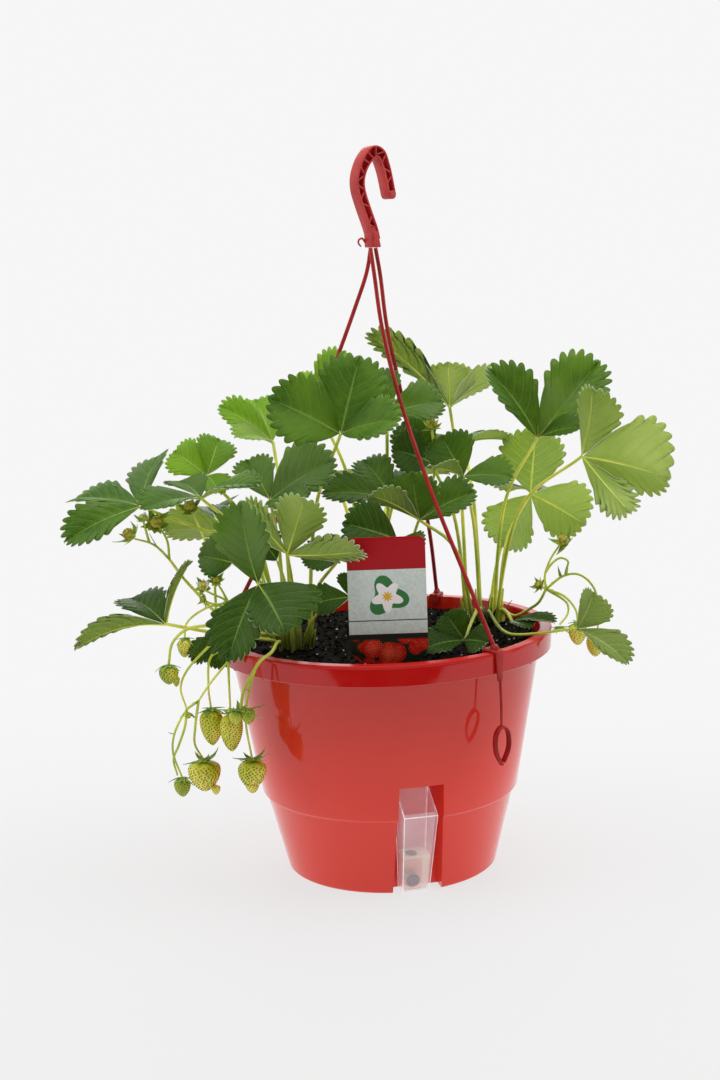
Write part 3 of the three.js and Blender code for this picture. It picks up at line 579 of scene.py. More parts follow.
def tag_card():
    """Printed plastic card: a bare red header, a pale panel with a blossom, and a band of round fruit."""
    finish = Finish("tag_card", Roughness=0.3, IOR=1.5, Specular_IOR_Level=0.25)
    x, z = finish.axis("X"), finish.axis("Z")
    beside, above = (finish.math("SUBTRACT", value, middle * MM)
                     for value, middle in zip((x, z), TAG_BLOSSOM))
    squares = finish.math("ADD", finish.times(beside, beside), finish.times(above, above))
    reach = finish.math("SQRT", squares)
    bearing = finish.math("ARCTAN2", above, beside)

    def rosette(radius, petals, turn):
        """A share of one inside a round flower shape, and none outside it."""
        wave = finish.math("COSINE", finish.math("MULTIPLY_ADD", bearing, float(petals), turn))
        edge = finish.math("MULTIPLY_ADD", wave, 0.22 * radius * MM, 0.78 * radius * MM)
        return finish.ramp(finish.math("SUBTRACT", edge, reach), -0.00015, 0.00015)

    def cells(scale, randomness):
        """How far each place is from the middle of its round cell in the band."""
        inputs = {"Vector": finish.scaled(finish.place(), scale, 0.0, scale), "Scale": 1.0,
                  "Randomness": randomness}
        return finish.node("TexVoronoi", inputs)

    heap = cells(72.0, 0.75)
    fruit = finish.layered((1.0, 0.11, 0.05), (finish.ramp(heap, 0.1, 0.62), (0.6, 0.012, 0.01)),
                           (finish.ramp(cells(620.0, 0.4), 0.16, 0.26, 0.5, 0.0), (0.95, 0.6, 0.15)),
                           (finish.ramp(heap, 0.6, 0.66), (0.012, 0.03, 0.012)),
                           (finish.ramp(z, 0.2055, 0.2075), (0.012, 0.02, 0.012)))
    finish.colour((0.58, 0.66, 0.6), (finish.patch(500, 2, 0.35, 0.65), (0.68, 0.74, 0.69)),
                  (rosette(17, 3, 0.7), (0.04, 0.2, 0.05)),
                  (rosette(12.5, 5, 1.6), (0.9, 0.86, 0.84)),
                  (rosette(4.2, 9, 0.0), (0.75, 0.45, 0.03)),
                  (finish.math("COMPARE", z, TAG_RULE * MM, 0.0004), (0.05, 0.05, 0.06)),
                  (finish.math("LESS_THAN", z, TAG_FRUIT * MM), fruit),
                  (finish.math("GREATER_THAN", z, TAG_HEADER * MM), (0.42, 0.004, 0.01)))
    finish.grain(90, 2, 0.1, 0.3)
    return finish.material


POT_PLASTIC = pot_plastic("pot_plastic", 0.5, 0.05)
WORN_EDGE = pot_plastic("pot_rim_worn", 0.12, 0.3)
HANGER_PLASTIC = hanger_plastic()
CLEAR_PLASTIC = clear_plastic()
CLEAR_EDGE = clear_edge()
WATER = trough_water()
SOIL = potting_soil()
TAG_CARD = tag_card()
LEAF_TOP = leaf_blade("leaf_top", (0.03, 0.1, 0.003), (0.105, 0.225, 0.012), (0.2, 0.34, 0.06),
                      0.42, -0.7, 0.15)
LEAF_UNDER = leaf_blade("leaf_under", (0.26, 0.39, 0.07), (0.42, 0.54, 0.16), (0.48, 0.57, 0.22),
                        0.62, 1.0, 0.25)
# Painted light: brighter, more translucent copies of the leaf finishes, for the leaves lit from behind.
BACKLIT_TOP = leaf_blade("backlit_top", (0.13, 0.32, 0.008), (0.23, 0.43, 0.018), (0.42, 0.58, 0.12),
                        0.45, -0.6, 0.35)
BACKLIT_UNDER = leaf_blade("backlit_under", (0.32, 0.48, 0.12), (0.44, 0.58, 0.2), (0.55, 0.66, 0.25),
                          0.6, 0.9, 0.4)
STEM = stem_green()
BERRY = berry_skin("berry_skin", (0.6, 0.61, 0.02), (0.95, 0.81, 0.13))
YOUNG_BERRY = berry_skin("young_berry_skin", (0.3, 0.4, 0.01), (0.66, 0.66, 0.05))

# White expanded grains in the peat; papery sheaths at the foot of the stalks, drying to brown; sepals and
# bracts; seeds on the berries; and the hearts of the spent flowers.
PERLITE = mottled("perlite", 0.85, (900, 3, 0.3, 0.7), (0.45, 0.42, 0.37), (0.82, 0.8, 0.76),
                  (1500, 3, 0.3, 0.6))
SHEATH = mottled("sheath_brown", 0.7, (80, 4, 0.35, 0.65), (0.055, 0.11, 0.01), (0.14, 0.085, 0.028),
                 (500, 3, 0.3, 0.6))
SEPAL = mottled("sepal_green", 0.6, (160, 3, 0.3, 0.7), (0.15, 0.3, 0.02), (0.36, 0.5, 0.07),
                (900, 2, 0.2, 0.5))
SEED = mottled("seed_brown", 0.45, (50, 2, 0.35, 0.65), (0.06, 0.1, 0.006), (0.2, 0.17, 0.02))
HEART = mottled("flower_heart", 0.7, (420, 2, 0.35, 0.65), (0.6, 0.62, 0.05), (0.3, 0.2, 0.03),
                (900, 2, 0.5, 0.9))
FUZZ = plain_noise("fuzz", 0.6, 90, 2, (0.5, 0.6, 0.3), (0.75, 0.8, 0.6))
PETAL = plain_noise("petal_white", 0.55, 200, 3, (0.8, 0.8, 0.74), (0.9, 0.9, 0.88),
                    Subsurface_Weight=0.2, Subsurface_Scale=0.002)


# ---------------------------------------------------------------- camera, light and floor

def camera():
    """The photograph's view: 720 x 1080, from a little above the rim."""
    bpy.ops.object.camera_add(location=(0, -1.444, 0.515))
    made = bpy.context.object
    made.data.sensor_fit = "VERTICAL"
    made.data.sensor_height = 36
    made.data.lens = 60.3
    turn = Matrix.Rotation(0.012, 4, "Z") @ Matrix.Rotation(math.pi / 2 - 0.169, 4, "X")
    made.matrix_world = Matrix.Translation(made.location) @ turn @ Matrix.Rotation(-0.037, 4, "Z")
    bpy.context.scene.camera = made


def soft_light(name, place, target_height, size, energy):
    """A round lamp that faces a point on the pot's axis."""
    bpy.ops.object.light_add(type="AREA", location=place)
    made = bpy.context.object
    made.name = name
    made.data.shape = "DISK"
    made.data.size = size
    made.data.energy = energy
    aim = Vector((0, 0, target_height)) - Vector(place)
    made.rotation_euler = aim.to_track_quat("-Z", "Y").to_euler()


def white_room():
    """A white world, dark on the camera's side as far as it lights the plant and shows in its gloss."""
    scene = bpy.context.scene
    scene.view_settings.view_transform = "Standard"
    scene.world = bpy.data.worlds.new("studio")
    scene.world.use_nodes = True
    room = Nodes(scene.world.node_tree)
    direction = room.node("TexCoord", {}, "Generated")
    lean = room.vector_math("DOT_PRODUCT", direction, (0, 1, 0.55))
    light = room.ramp(lean, -0.6, 0.35, FRONT_LIGHT, ROOM_LIGHT)
    seen = room.node("LightPath", {}, "Is Camera Ray")
    walls = room.tree.nodes["Background"]
    walls.inputs["Color"].default_value = (1, 1, 1, 1)
    room.feed(walls.inputs["Strength"], room.ramp(seen, 0.0, 1.0, light, BACKDROP, "LINEAR"))


def floor():
    """Pale paper that fades into the room behind the plant and far from it."""
    bpy.ops.mesh.primitive_plane_add(size=60)
    sheet = bpy.context.object
    sheet.name = "floor"
    paper = Finish("floor_paper", Roughness=0.7, Specular_IOR_Level=0.1)
    paper.colour((0.61, 0.61, 0.61), (paper.noise(3, 2), (0.63, 0.63, 0.63)))
    glow = paper.node("Emission", {"Color": (1, 1, 1, 1), "Strength": BACKDROP})
    reach = paper.vector_math("LENGTH", paper.place())
    behind = paper.ramp(paper.axis("Y"), -0.1, 0.65, FLOOR_GLOW)
    far = paper.larger(behind, paper.ramp(reach, 1.3, 4.0, FLOOR_GLOW))
    fade = paper.node("MixShader", {0: far, 1: paper.shader.outputs[0], 2: glow})
    paper.feed(paper.tree.nodes["Material Output"].inputs["Surface"], fade)
    painted(sheet, paper.material)


def dark_card():
    """A black card in front of the pot, which only its gloss shows."""
    bpy.ops.mesh.primitive_plane_add(size=1, location=(0, -1.0, 0.002))
    card = bpy.context.object
    card.name = "dark_card"
    card.scale = (2.4, 1.0, 1)
    card.visible_camera = card.visible_diffuse = card.visible_shadow = False
    black = Finish("card_black", Base_Color=(0.01, 0.01, 0.01, 1), Roughness=1.0, Specular_IOR_Level=0.0)
    painted(card, black.material)


camera()
white_room()
floor()
dark_card()
soft_light("overhead", (0.1, -0.1, 1.9), 0.2, 1.6, 12)
soft_light("left", (-1.6, -0.2, 1.0), 0.25, 1.2, 4)
soft_light("right", (1.6, -0.1, 0.9), 0.25, 1.2, 4)
soft_light("back", (0.2, 1.7, 0.9), 0.35, 1.6, 10)


# ---------------------------------------------------------------- pot

TO_NOTCH = Matrix.Rotation(NOTCH_TURN, 4, "Z")


def notch_block(grow):
    """The space of the recess at the front, grown by a thickness."""
    back, front = -(NOTCH_BACK - grow), -(RIM_RADIUS + 10)
    low, high = NOTCH_HALF_BOTTOM + grow, NOTCH_HALF_TOP + grow
    made = block("notch", corners(-low, low, front, back, -5),
                 corners(-high, high, front, back, NOTCH_TOP + grow))
    return placed(made, TO_NOTCH)


def feed_hole():
    """The drill for the round hole through the recess's back."""
    bpy.ops.mesh.primitive_cylinder_add(vertices=32, radius=FEED_HOLE_RADIUS * MM, depth=0.02,
                                        location=(0, -NOTCH_BACK * MM, FEED_HOLE_HEIGHT * MM),
                                        rotation=(math.pi / 2, 0, 0))
    drill = bpy.context.object
    bpy.ops.object.transform_apply(location=True, rotation=True, scale=True)
    return placed(drill, TO_NOTCH)


def rim_lugs():
    """Small lugs that brace the rim from below."""
    lug = block("lug", [(-1.1, -2.6, 0), (1.1, -2.6, 0), (0.6, 2.6, 0.9), (-0.6, 2.6, 0.9)],
                [(-1.6, -3.4, 6), (1.6, -3.4, 6), (1.2, 3.4, 6), (-1.2, 3.4, 6)])
    under_rim = Matrix.Translation((0, -(RIM_RADIUS - 4.6) * MM, (POT_HEIGHT - RIM_DROP - 1.1) * MM))
    made = copies("lugs", lug, [Matrix.Rotation(FULL_TURN * (i + 0.35) / RIM_LUGS, 4, "Z") @ under_rim
                                for i in range(RIM_LUGS)])
    bpy.data.objects.remove(lug)
    return made


def pot():
    """The shell with its foot ring, ledge and turned-down rim, and the recess for the trough."""
    upper_wall = [(ABOVE_LEDGE_RADIUS + (UNDER_LIP_RADIUS - ABOVE_LEDGE_RADIUS) * share,
                   LEDGE_HEIGHT + 0.3 + (POT_HEIGHT - WALL - 1.3 - LEDGE_HEIGHT) * share)
                  for share in (0, 0.2, 0.235, 0.4, 0.7, 1)]
    wall = [(BASE_RADIUS - 1.2, 0), (BASE_RADIUS, 1.2), (BELOW_LEDGE_RADIUS - 0.2, LEDGE_HEIGHT - 3),
            (BELOW_LEDGE_RADIUS + 0.3, LEDGE_HEIGHT - 2.2), (ABOVE_LEDGE_RADIUS - 0.5, LEDGE_HEIGHT - 0.6),
            *upper_wall, (UNDER_LIP_RADIUS + 0.8, POT_HEIGHT - WALL)]
    skirt = RIM_RADIUS - WALL
    hem = POT_HEIGHT - RIM_DROP
    rim = [(skirt - 0.6, POT_HEIGHT - WALL), (skirt, POT_HEIGHT - WALL - 0.7), (skirt - 1, hem + 0.3),
           (skirt - 0.5, hem), (RIM_RADIUS - 1.5, hem), (RIM_RADIUS - 1, hem + 0.5),
           (RIM_RADIUS - 0.93, hem + 1.5), (RIM_RADIUS - 0.07, POT_HEIGHT - 3),
           (RIM_RADIUS, POT_HEIGHT - 2), (RIM_RADIUS - 0.3, POT_HEIGHT - 0.8),
           (RIM_RADIUS - 1.2, POT_HEIGHT), (INSIDE_RADIUS + 1, POT_HEIGHT), (INSIDE_RADIUS, POT_HEIGHT - 1)]
    inside = [(ABOVE_LEDGE_RADIUS - WALL, LEDGE_HEIGHT + 2), (BELOW_LEDGE_RADIUS - WALL, LEDGE_HEIGHT - 0.5),
              (BASE_RADIUS - WALL, 2.6), (BASE_RADIUS - WALL - 1, 2)]
    shell = spun("pot_shell", [(0, 0), *wall, *rim, *inside, (0, 2)], POT_SIDES)
    recess = spun("recess", [(0, 0), *wall[:-1], (0, POT_HEIGHT - WALL - 1)], POT_SIDES)
    cut(recess, notch_block(WALL), "INTERSECT")
    cut(shell, recess, "UNION")
    cut(shell, notch_block(0))
    cut(shell, feed_hole())
    joined(shell, rim_lugs())
    painted(smoothed(shell, 30), POT_PLASTIC, WORN_EDGE)
    for face in shell.data.polygons:
        face.material_index = int(face.center.z > (POT_HEIGHT - 0.9) * MM and face.normal.z > 0.7)
    finished(shell, "pot_shell", "pot")


# ---------------------------------------------------------------- water trough

def trough_block(name, inset, back_top, front_top):
    """The trough's outside, or its space: an upright wedge that leans out at its front."""
    low, high = 11 - inset, 13.5 - inset
    left, right = TROUGH_SHIFT - low, TROUGH_SHIFT + low
    under = corners(left, right, -88 + inset, -73 - inset, 0.8 + inset)
    left, right = TROUGH_SHIFT - high, TROUGH_SHIFT + high
    return block(name, under, corners(left, right, -113 + inset, -83 - inset, front_top, back_top))


def trough():
    """The open clear trough with its rounded lip, and the water in it."""
    shell = painted(trough_block("trough_shell", 0, 87, 70), CLEAR_PLASTIC, CLEAR_EDGE)
    bevelled(shell, 0.5, 3, 40, material=1)
    cut(shell, painted(trough_block("space", TROUGH_WALL, 95, 78), CLEAR_PLASTIC))
    bevelled(shell, 0.3, 2, 60, material=1)
    smoothed(placed(shell, TO_NOTCH), 40)
    finished(shell, "trough_shell", "water_trough")

    water = trough_block("trough_fill", TROUGH_WALL + WATER_GAP, 95, 78)
    edit(water, lambda: bpy.ops.mesh.bisect(plane_co=(0, 0, WATER_LEVEL * MM), plane_no=(0, 0, 1),
                                            use_fill=True, clear_outer=True))
    bevelled(water, 0.6, 2, 40)
    smoothed(placed(outward(water), TO_NOTCH), 40)
    finished(painted(water, WATER), "trough_fill", "trough_water")


# ---------------------------------------------------------------- soil

SOIL_RINGS = 62
SOIL_SIDES = 190
CRUMBS = 1500
WHITE_STEP = 9        # one in so many crumbs is a white grain


def soil_height(x, y):
    """The soil's rough top: clods, crumbs, and a low rise round each crown."""
    at = Vector((x, y, 0))
    lumps = 1.5 * noise.noise(at / 17) + 1.1 * noise.noise(at / 6) + 0.8 * noise.noise(at / 2.3)
    rise = sum(2.2 * math.exp(-((x - cx) ** 2 + (y - cy) ** 2) / 380) for cx, cy in CROWNS.values())
    return SOIL_TOP - 2.2 + lumps + rise - 2.2 * smooth(100, 124, math.hypot(x, y))


def crumb_places(edge):
    """Where loose crumbs lie on the soil, and where white grains lie between them."""
    draw = random.Random(11)
    crumbs, white = [], []
    for i in range(CRUMBS):
        reach, turn = (edge - 3) * math.sqrt(draw.random()), draw.uniform(0, FULL_TURN)
        x, y = reach * math.cos(turn), reach * math.sin(turn)
        is_white = i % WHITE_STEP == 0
        size = draw.uniform(0.35, 1.25) if is_white else draw.uniform(0.5, 2.1)
        wide, high = size * draw.uniform(0.6, 1), size * draw.uniform(0.5, 0.9)
        shape = Matrix.Diagonal((size * MM, wide * MM, high * MM, 1))
        spin, tilt = draw.uniform(0, 6.3), draw.uniform(-0.8, 0.8)
        turned = Matrix.Rotation(spin, 4, "Z") @ Matrix.Rotation(tilt, 4, "X")
        at = Vector((x, y, soil_height(x, y) + 0.25 * size)) * MM
        (white if is_white else crumbs).append(Matrix.Translation(at) @ turned @ shape)
    return crumbs, white


def soil():
    """The peat that fills the pot, with loose crumbs and white grains on it."""
    edge = INSIDE_RADIUS - 1.4
    profile = [(0, 2.4), (BASE_RADIUS - WALL - 1, 2.4), (BELOW_LEDGE_RADIUS - WALL - 0.6, LEDGE_HEIGHT),
               (edge - 1.2, SOIL_TOP - 7)]
    profile += [(edge * (1 - i / SOIL_RINGS), SOIL_TOP - 3) for i in range(SOIL_RINGS + 1)]
    body = spun("soil_bed", profile, SOIL_SIDES)
    for vertex in body.data.vertices:
        x, y, z = vertex.co / MM
        if z > SOIL_TOP - 4:
            vertex.co.z = soil_height(x, y) * MM
    smoothed(cut(body, notch_block(WALL + 0.3)), 60)

    crumbs, white = crumb_places(edge)
    bpy.ops.mesh.primitive_ico_sphere_add(subdivisions=1, radius=1)
    crumb = bpy.context.object
    loose = painted(copies("crumbs", crumb, crumbs), SOIL)
    bpy.ops.mesh.primitive_ico_sphere_add(subdivisions=2, radius=1)
    grain = bpy.context.object
    for vertex in grain.data.vertices:
        vertex.co *= 1 + 0.35 * noise.noise(vertex.co * 1.7)
    grains = painted(copies("grains", grain, white), PERLITE)
    for master in (crumb, grain):
        bpy.data.objects.remove(master)
    finished(joined(painted(body, SOIL), loose, grains), "soil_bed", "soil")


# ---------------------------------------------------------------- tag

def tag():
    """The card: round upper corners, cut-in shoulders and a stake in the soil."""
    outline = []
    for x, start in ((TAG_RIGHT - TAG_CORNER, 0), (TAG_LEFT + TAG_CORNER, 90)):
        for i in range(7):
            angle = math.radians(start + 15 * i)
            outline.append((x + TAG_CORNER * math.cos(angle),
                            TAG_TOP - TAG_CORNER + TAG_CORNER * math.sin(angle)))
    outline += [(TAG_LEFT, 199), (TAG_LEFT + 2.5, TAG_SHOULDER + 2), (TAG_LEFT + 9, TAG_SHOULDER - 4),
                (-8, 186), (-5, 150), (0, TAG_TIP), (6, 150), (9, 186), (TAG_RIGHT - 9, TAG_SHOULDER - 4),
                (TAG_RIGHT - 2.5, TAG_SHOULDER + 2), (TAG_RIGHT, 199)]
    card = mesh_object("tag_card", [(x, TAG_BACK - TAG_THICKNESS, z) for x, z in outline],
                       [tuple(range(len(outline)))])
    edit(card, lambda: bpy.ops.mesh.extrude_region_move(
        TRANSFORM_OT_translate={"value": (0, TAG_THICKNESS * MM, 0)}))
    bevelled(outward(card), 0.2, 2, 60)
    finished(painted(smoothed(card, 40), TAG_CARD), "tag_card", "plant_tag")


# ---------------------------------------------------------------- hanger

HOOK_LINE = [(0, 0), (-1.5, 7), (-4, 14), (-9, 27), (-12.5, 38), (-13, 46), (-10.5, 55), (-5.5, 63.5),
             (1.5, 69), (8, 66.5), (12, 57), (14.7, 46), (17, 34.5)]
TO_HOOK = Matrix.Translation(Vector(HOOK_PLACE) * MM) @ Matrix.Rotation(HOOK_TURN, 4, "Z")
OUTER_EDGE = HOOK_BAND / 2


def hook_station(line, i):
    """The place and the sideways direction at a step of the hook's middle line."""
    ahead = (line[min(i + 1, len(line) - 1)] - line[max(i - 1, 0)]).normalized()
    return line[i], Vector((-ahead.z, 0, ahead.x))


def hook_inside(step):
    """How far inside its middle line the hook's inner edge runs."""
    return OUTER_EDGE + HOOK_SWELL * math.exp(-((step / HOOK_STEPS - 0.66) / 0.14) ** 2)


def hook_band(line, outer, inner, depth):
    """A band along the hook, between two distances outside its middle line at each step."""
    points = []
    for i in range(len(line)):
        at, side = hook_station(line, i)
        for offset, y in ((inner, -1), (outer, -1), (outer, 1), (inner, 1)):
            p = at + side * offset[i]
            points.append((p.x, y * depth / 2, p.z))
    last = 4 * len(line) - 4
    faces = [(3, 2, 1, 0), (last, last + 1, last + 2, last + 3)]
    for base in range(0, last, 4):
        faces += [(base + j, base + (j + 1) % 4, base + 4 + (j + 1) % 4, base + 4 + j) for j in range(4)]
    return bevelled(outward(mesh_object("band", points, faces)), 0.28, 2, 50)


def hook_rib(line, number):
    """One of the leaning ribs that brace the flanges; those at the top of the bend stand straight."""
    step = round(number * HOOK_STEPS / HOOK_BAYS * 0.98)
    at, side = hook_station(line, step)
    inside = hook_inside(step)
    lean = 0 if 8 < number < 12 else 0.7 if number % 2 else -0.7
    bpy.ops.mesh.primitive_cube_add(size=1)
    rib = bpy.context.object
    turn = Matrix.Rotation(-(math.atan2(side.z, side.x) + lean), 4, "Y")
    length = (OUTER_EDGE + inside - 0.8) / math.cos(lean)
    size = Matrix.Diagonal((length * MM, (HOOK_DEPTH - 0.6) * MM, 1.1 * MM, 1))
    placed(rib, Matrix.Translation((at + side * (OUTER_EDGE - inside) / 2) * MM) @ turn @ size)
    return bevelled(rib, 0.2, 2)


def hook():
    """Two flanges and a thin web along an open hook, braced by ribs, on a block that the strands leave."""
    line = curve_points([(x, 0, z) for x, z in HOOK_LINE], HOOK_STEPS)
    outer = [OUTER_EDGE] * len(line)
    inner = [-hook_inside(i) for i in range(len(line))]
    pieces = [hook_band(line, outer, [at - HOOK_FLANGE for at in outer], HOOK_DEPTH),
              hook_band(line, [at + HOOK_FLANGE for at in inner], inner, HOOK_DEPTH),
              hook_band(line, [at - 0.4 for at in outer], [at + 0.4 for at in inner], 2)]
    pieces += [hook_rib(line, i) for i in range(1, HOOK_BAYS)]
    foot = block("foot", corners(-4.5, 4.5, -5.5, 5.5, -6), corners(-4.7, 1.8, -5.5, 5.5, 7))
    pieces.append(bevelled(foot, 1.0, 3))
    for y in (-3.6, 0, 3.6):
        fillet = block("fillet", corners(-1.6, 1.6, y - 1.5, y + 1.5, -6),
                       corners(-4.5, 0.2, y - 1.2, y + 1.2, 10))
        pieces.append(bevelled(fillet, 0.5, 2))
    bpy.ops.mesh.primitive_cylinder_add(vertices=40, radius=OUTER_EDGE * MM, depth=HOOK_DEPTH * MM,
                                        rotation=(math.pi / 2, 0, 0))
    tip = bpy.context.object
    bpy.ops.object.transform_apply(location=False, rotation=True, scale=True)
    pieces.append(bevelled(placed(tip, Matrix.Translation(line[-1] * MM)), 0.4, 3, 50))
    curl = [(-4.2, 4.3, -2), (-6.8, 4.9, 1.3), (-9.5, 5.7, 0), (-9.9, 5.4, -2.5), (-8.8, 3.9, -5)]
    pieces.append(stem("curl", curve_points(curl, 24), 0.85, 0.7, 3))
    body = placed(joined(*pieces), TO_HOOK)
    finished(painted(smoothed(body, 40), HANGER_PLASTIC), "hook_truss", "hanger_hook")


STRAND_ROUTES = {
    "left": [(-0.4, 1.5, 501.6), (-4.2, 1, 483), (-14.6, -1, 455), (-33, -5, 410), (-62, -10, 345),
             (-92, -15, 270), (-130, -20.5, 199)],
    "front": [(-0.6, -3.2, 501.6), (1.8, -6, 480), (6.3, -15, 440), (18, -31, 385), (40, -57, 314),
              (62, -80, 255), (82, -101, 202)],
    "back": [(3.4, 4, 501.6), (6.4, 8, 480), (10.2, 18, 440), (20, 37, 385), (33, 65, 314),
             (42, 93, 255), (47, 122, 202)],
}
STRAND_AZIMUTHS = {"left": 189, "front": -51, "back": 69}


def clip(turn):
    """The clip at a strand's end, over the rim from a claw inside to a tapered and ridged tongue outside."""
    out, inner, top = RIM_RADIUS + 0.3, INSIDE_RADIUS - 2.4, POT_HEIGHT + 0.3
    back, reach = inner - 1.8, out + 1.8
    tongue = block("tongue", corners(out, reach, -2.2, 2.2, top - 22),
                   corners(out, reach, -4.2, 4.2, top + 1))
    over = block("over", corners(back, reach, -4.2, 4.2, top),
                 corners(back, out + 1.2, -3.4, 3.4, top + 2.2))
    claw = block("claw", corners(back, inner, -4.2, 4.2, top - 7), corners(back, inner, -4.2, 4.2, top + 1))
    ridge = block("ridge", [(out + 1.2, -0.9, top - 20), (out + 2.2, -0.7, top - 20),
                            (out + 2.2, 0.7, top - 20), (out + 1.2, 0.9, top - 20)],
                  [(RIM_RADIUS - 5, -1.9, top + 4), (RIM_RADIUS - 1, -1.9, top + 2),
                   (RIM_RADIUS - 1, 1.9, top + 2), (RIM_RADIUS - 5, 1.9, top + 4)])
    bodies = [bevelled(piece, 0.5, 3) for piece in (tongue, over, claw, ridge)]
    bpy.ops.mesh.primitive_uv_sphere_add(segments=24, ring_count=12, radius=1)
    boss = bpy.context.object
    placed(boss, Matrix.Translation(Vector((RIM_RADIUS - 4, 0, top + 2.2)) * MM)
           @ Matrix.Diagonal((4.6 * MM, 2.6 * MM, 4.2 * MM, 1)))
    return placed(joined(*bodies, boss), turn)


def spare_loop(turn):
    """The front strand's unused end: a thin tail and a drop-shaped loop of flat strip."""
    reach = RIM_RADIUS + 1.4
    hanging = curve_points([(reach, 0, 176), (reach, 0.5, 156), (reach - 1, 1, 137)], 16)
    tail = stem("tail", hanging, 1.2, 1.0, 3)
    outline = [(-0.6, 108.5), (-5.5, 117), (-6.8, 126), (-5, 134), (0, 138), (5.5, 135), (7.5, 127),
               (6, 118), (1, 110)]
    loop = stem("loop", curve_points([(0, 1 + aside, height) for aside, height in outline], 60), 1.2, 1.2, 3)
    placed(loop, Matrix.Translation(((reach - 1) * MM, 0, 0)) @ Matrix.Diagonal((2.3, 1, 1, 1)))
    return placed(joined(tail, loop), turn)


def strand(side):
    """One strand from the hook's foot to its clip on the rim."""
    turn = Matrix.Rotation(math.radians(STRAND_AZIMUTHS[side]), 4, "Z")
    line = curve_points(STRAND_ROUTES[side], 64)
    bodies = [stem("strand", line, STRAND_RADIUS, STRAND_RADIUS * 1.05, 3), clip(turn)]
    if side == "front":
        bodies.append(spare_loop(turn))
    body = smoothed(joined(*bodies), 40)
    finished(painted(body, HANGER_PLASTIC), f"strand_{side}", f"hanger_strand_{side}")


# ---------------------------------------------------------------- leaves

def leaflet_outline(along):
    """Half the width of the smooth outline at a share of the length, as a share of its widest."""
    return along ** 0.95 * max(1 - along, 0) ** 0.5 / 0.3865


def margin(row, length, width):
    """The edge of the blade where vein row `row` (0 to 1) reaches it, with its rounded teeth."""
    def plain(r):
        along = 1 - (1 - r ** 0.75) ** 1.7
        return Vector((width / 2 * 0.95 * leaflet_outline(along), (length * 0.965) * along))

    step = 0.004
    ahead = (plain(min(row + step, 1)) - plain(max(row - step, 0))).normalized()
    away = Vector((ahead.y, -ahead.x))
    if row > 1 - step:
        away = Vector((0, 1))
        ahead = Vector((-1, 0))
    tooth = abs(2 * ((row * VEINS + 0.5) % 1) - 1)
    rise = 1 - tooth ** 2
    depth = 0.075 * length * smooth(1.2, 2.4, row * VEINS) * (1 - 0.25 * smooth(0.75, 1, row))
    return plain(row) + away * depth * rise + ahead * depth * 0.35 * rise * (1 if row < 0.99 else 0)


def bent_leaflet(hub, tip, width, face, seed, fold=0.3, arch=0.06, skew=0.0):
    """A copy of the master sheet, shaped into one leaflet from the hub to its tip, and its rib."""
    hub, tip, up = Vector(hub), Vector(tip), Vector(face)
    ahead = (tip - hub).normalized()
    start = hub + ahead * (HUB_RADIUS / 3)
    length = (tip - start).length
    up = (up - ahead * up.dot(ahead)).normalized()
    side = ahead.cross(up)
    draw = random.Random(seed)
    phase = [draw.uniform(0, 6.3) for _ in range(4)]
    wave = draw.uniform(0.6, 1.3)
    rows = {}
    made = twin(LEAFLET)
    for vertex in made.data.vertices:
        across, row = vertex.co.x, (vertex.co.y + 1) / 2
        right = across > 0
        key = (round(row, 5), right)
        if key not in rows:
            rows[key] = margin(row, length, width * (1 + skew if right else 1 - skew))
        edge = rows[key]
        reach = abs(across)
        rib = length * 0.975 * row ** 1.18
        x = edge.x * reach ** 0.95
        y = rib + (edge.y - rib) * reach ** 1.15
        along = y / length
        pillow = abs(math.sin(math.pi * VEINS * row)) ** 0.8 * math.sin(math.pi * min(reach * 1.05, 1)) ** 0.7
        lift = (x * math.sin(fold) + 4 * arch * length * along * (1 - along)
                + 0.007 * length * pillow * smooth(0.05, 0.25, row)
                + 0.045 * length * reach * (1 - reach) * 2 * smooth(0, 0.4, along)
                + wave * 0.9 * math.sin(5 * along + phase[0] + (2 if right else 0)) * reach ** 2
                + wave * 0.5 * math.sin(11 * along + phase[1] - across * 2) * reach ** 2 * along)
        vertex.co = (start + ahead * y + side * (math.copysign(x, across) * math.cos(fold)) + up * lift) * MM
    age = made.data.attributes.new("age", "FLOAT", "POINT")
    age.data.foreach_set("value", [draw.random()] * len(made.data.vertices))
    rib_line = [start + ahead * (length * share) + up * (4 * arch * length * share * (1 - share) - 0.55)
                for share in (0, 0.12, 0.3, 0.5, 0.7, 0.88)]
    return made, stem("rib", curve_points(rib_line, 14), 0.85, 0.3, 1)


def root_of(crown, place, ring=0):
    """Where a stem stands in the soil: place counts round its crown, in twelfths of a turn."""
    x, y = CROWNS[crown]
    return Vector((x, y, STALK_FOOT)) + around(place * math.pi / 6) * (12.5 + 6 * ring)


def hairs(line, radius, length, spacing, seed):
    """Fine hairs that stand out round a stem."""
    draw = random.Random(seed)
    places = []
    for a, b in zip(line, line[1:]):
        ahead = (b - a).normalized()
        first = ahead.orthogonal().normalized()
        second = ahead.cross(first)
        for _ in range(max(1, round((b - a).length / spacing))):
            at = a.lerp(b, draw.random())
            out = around(draw.uniform(0, FULL_TURN), first, second)
            lean = out + ahead * draw.uniform(-0.15, 0.45)
            places.append(towards(at + out * radius * 0.9, lean, 0.09, length * draw.uniform(0.6, 1.2)))
    return painted(copies("hairs", HAIR, places), FUZZ)


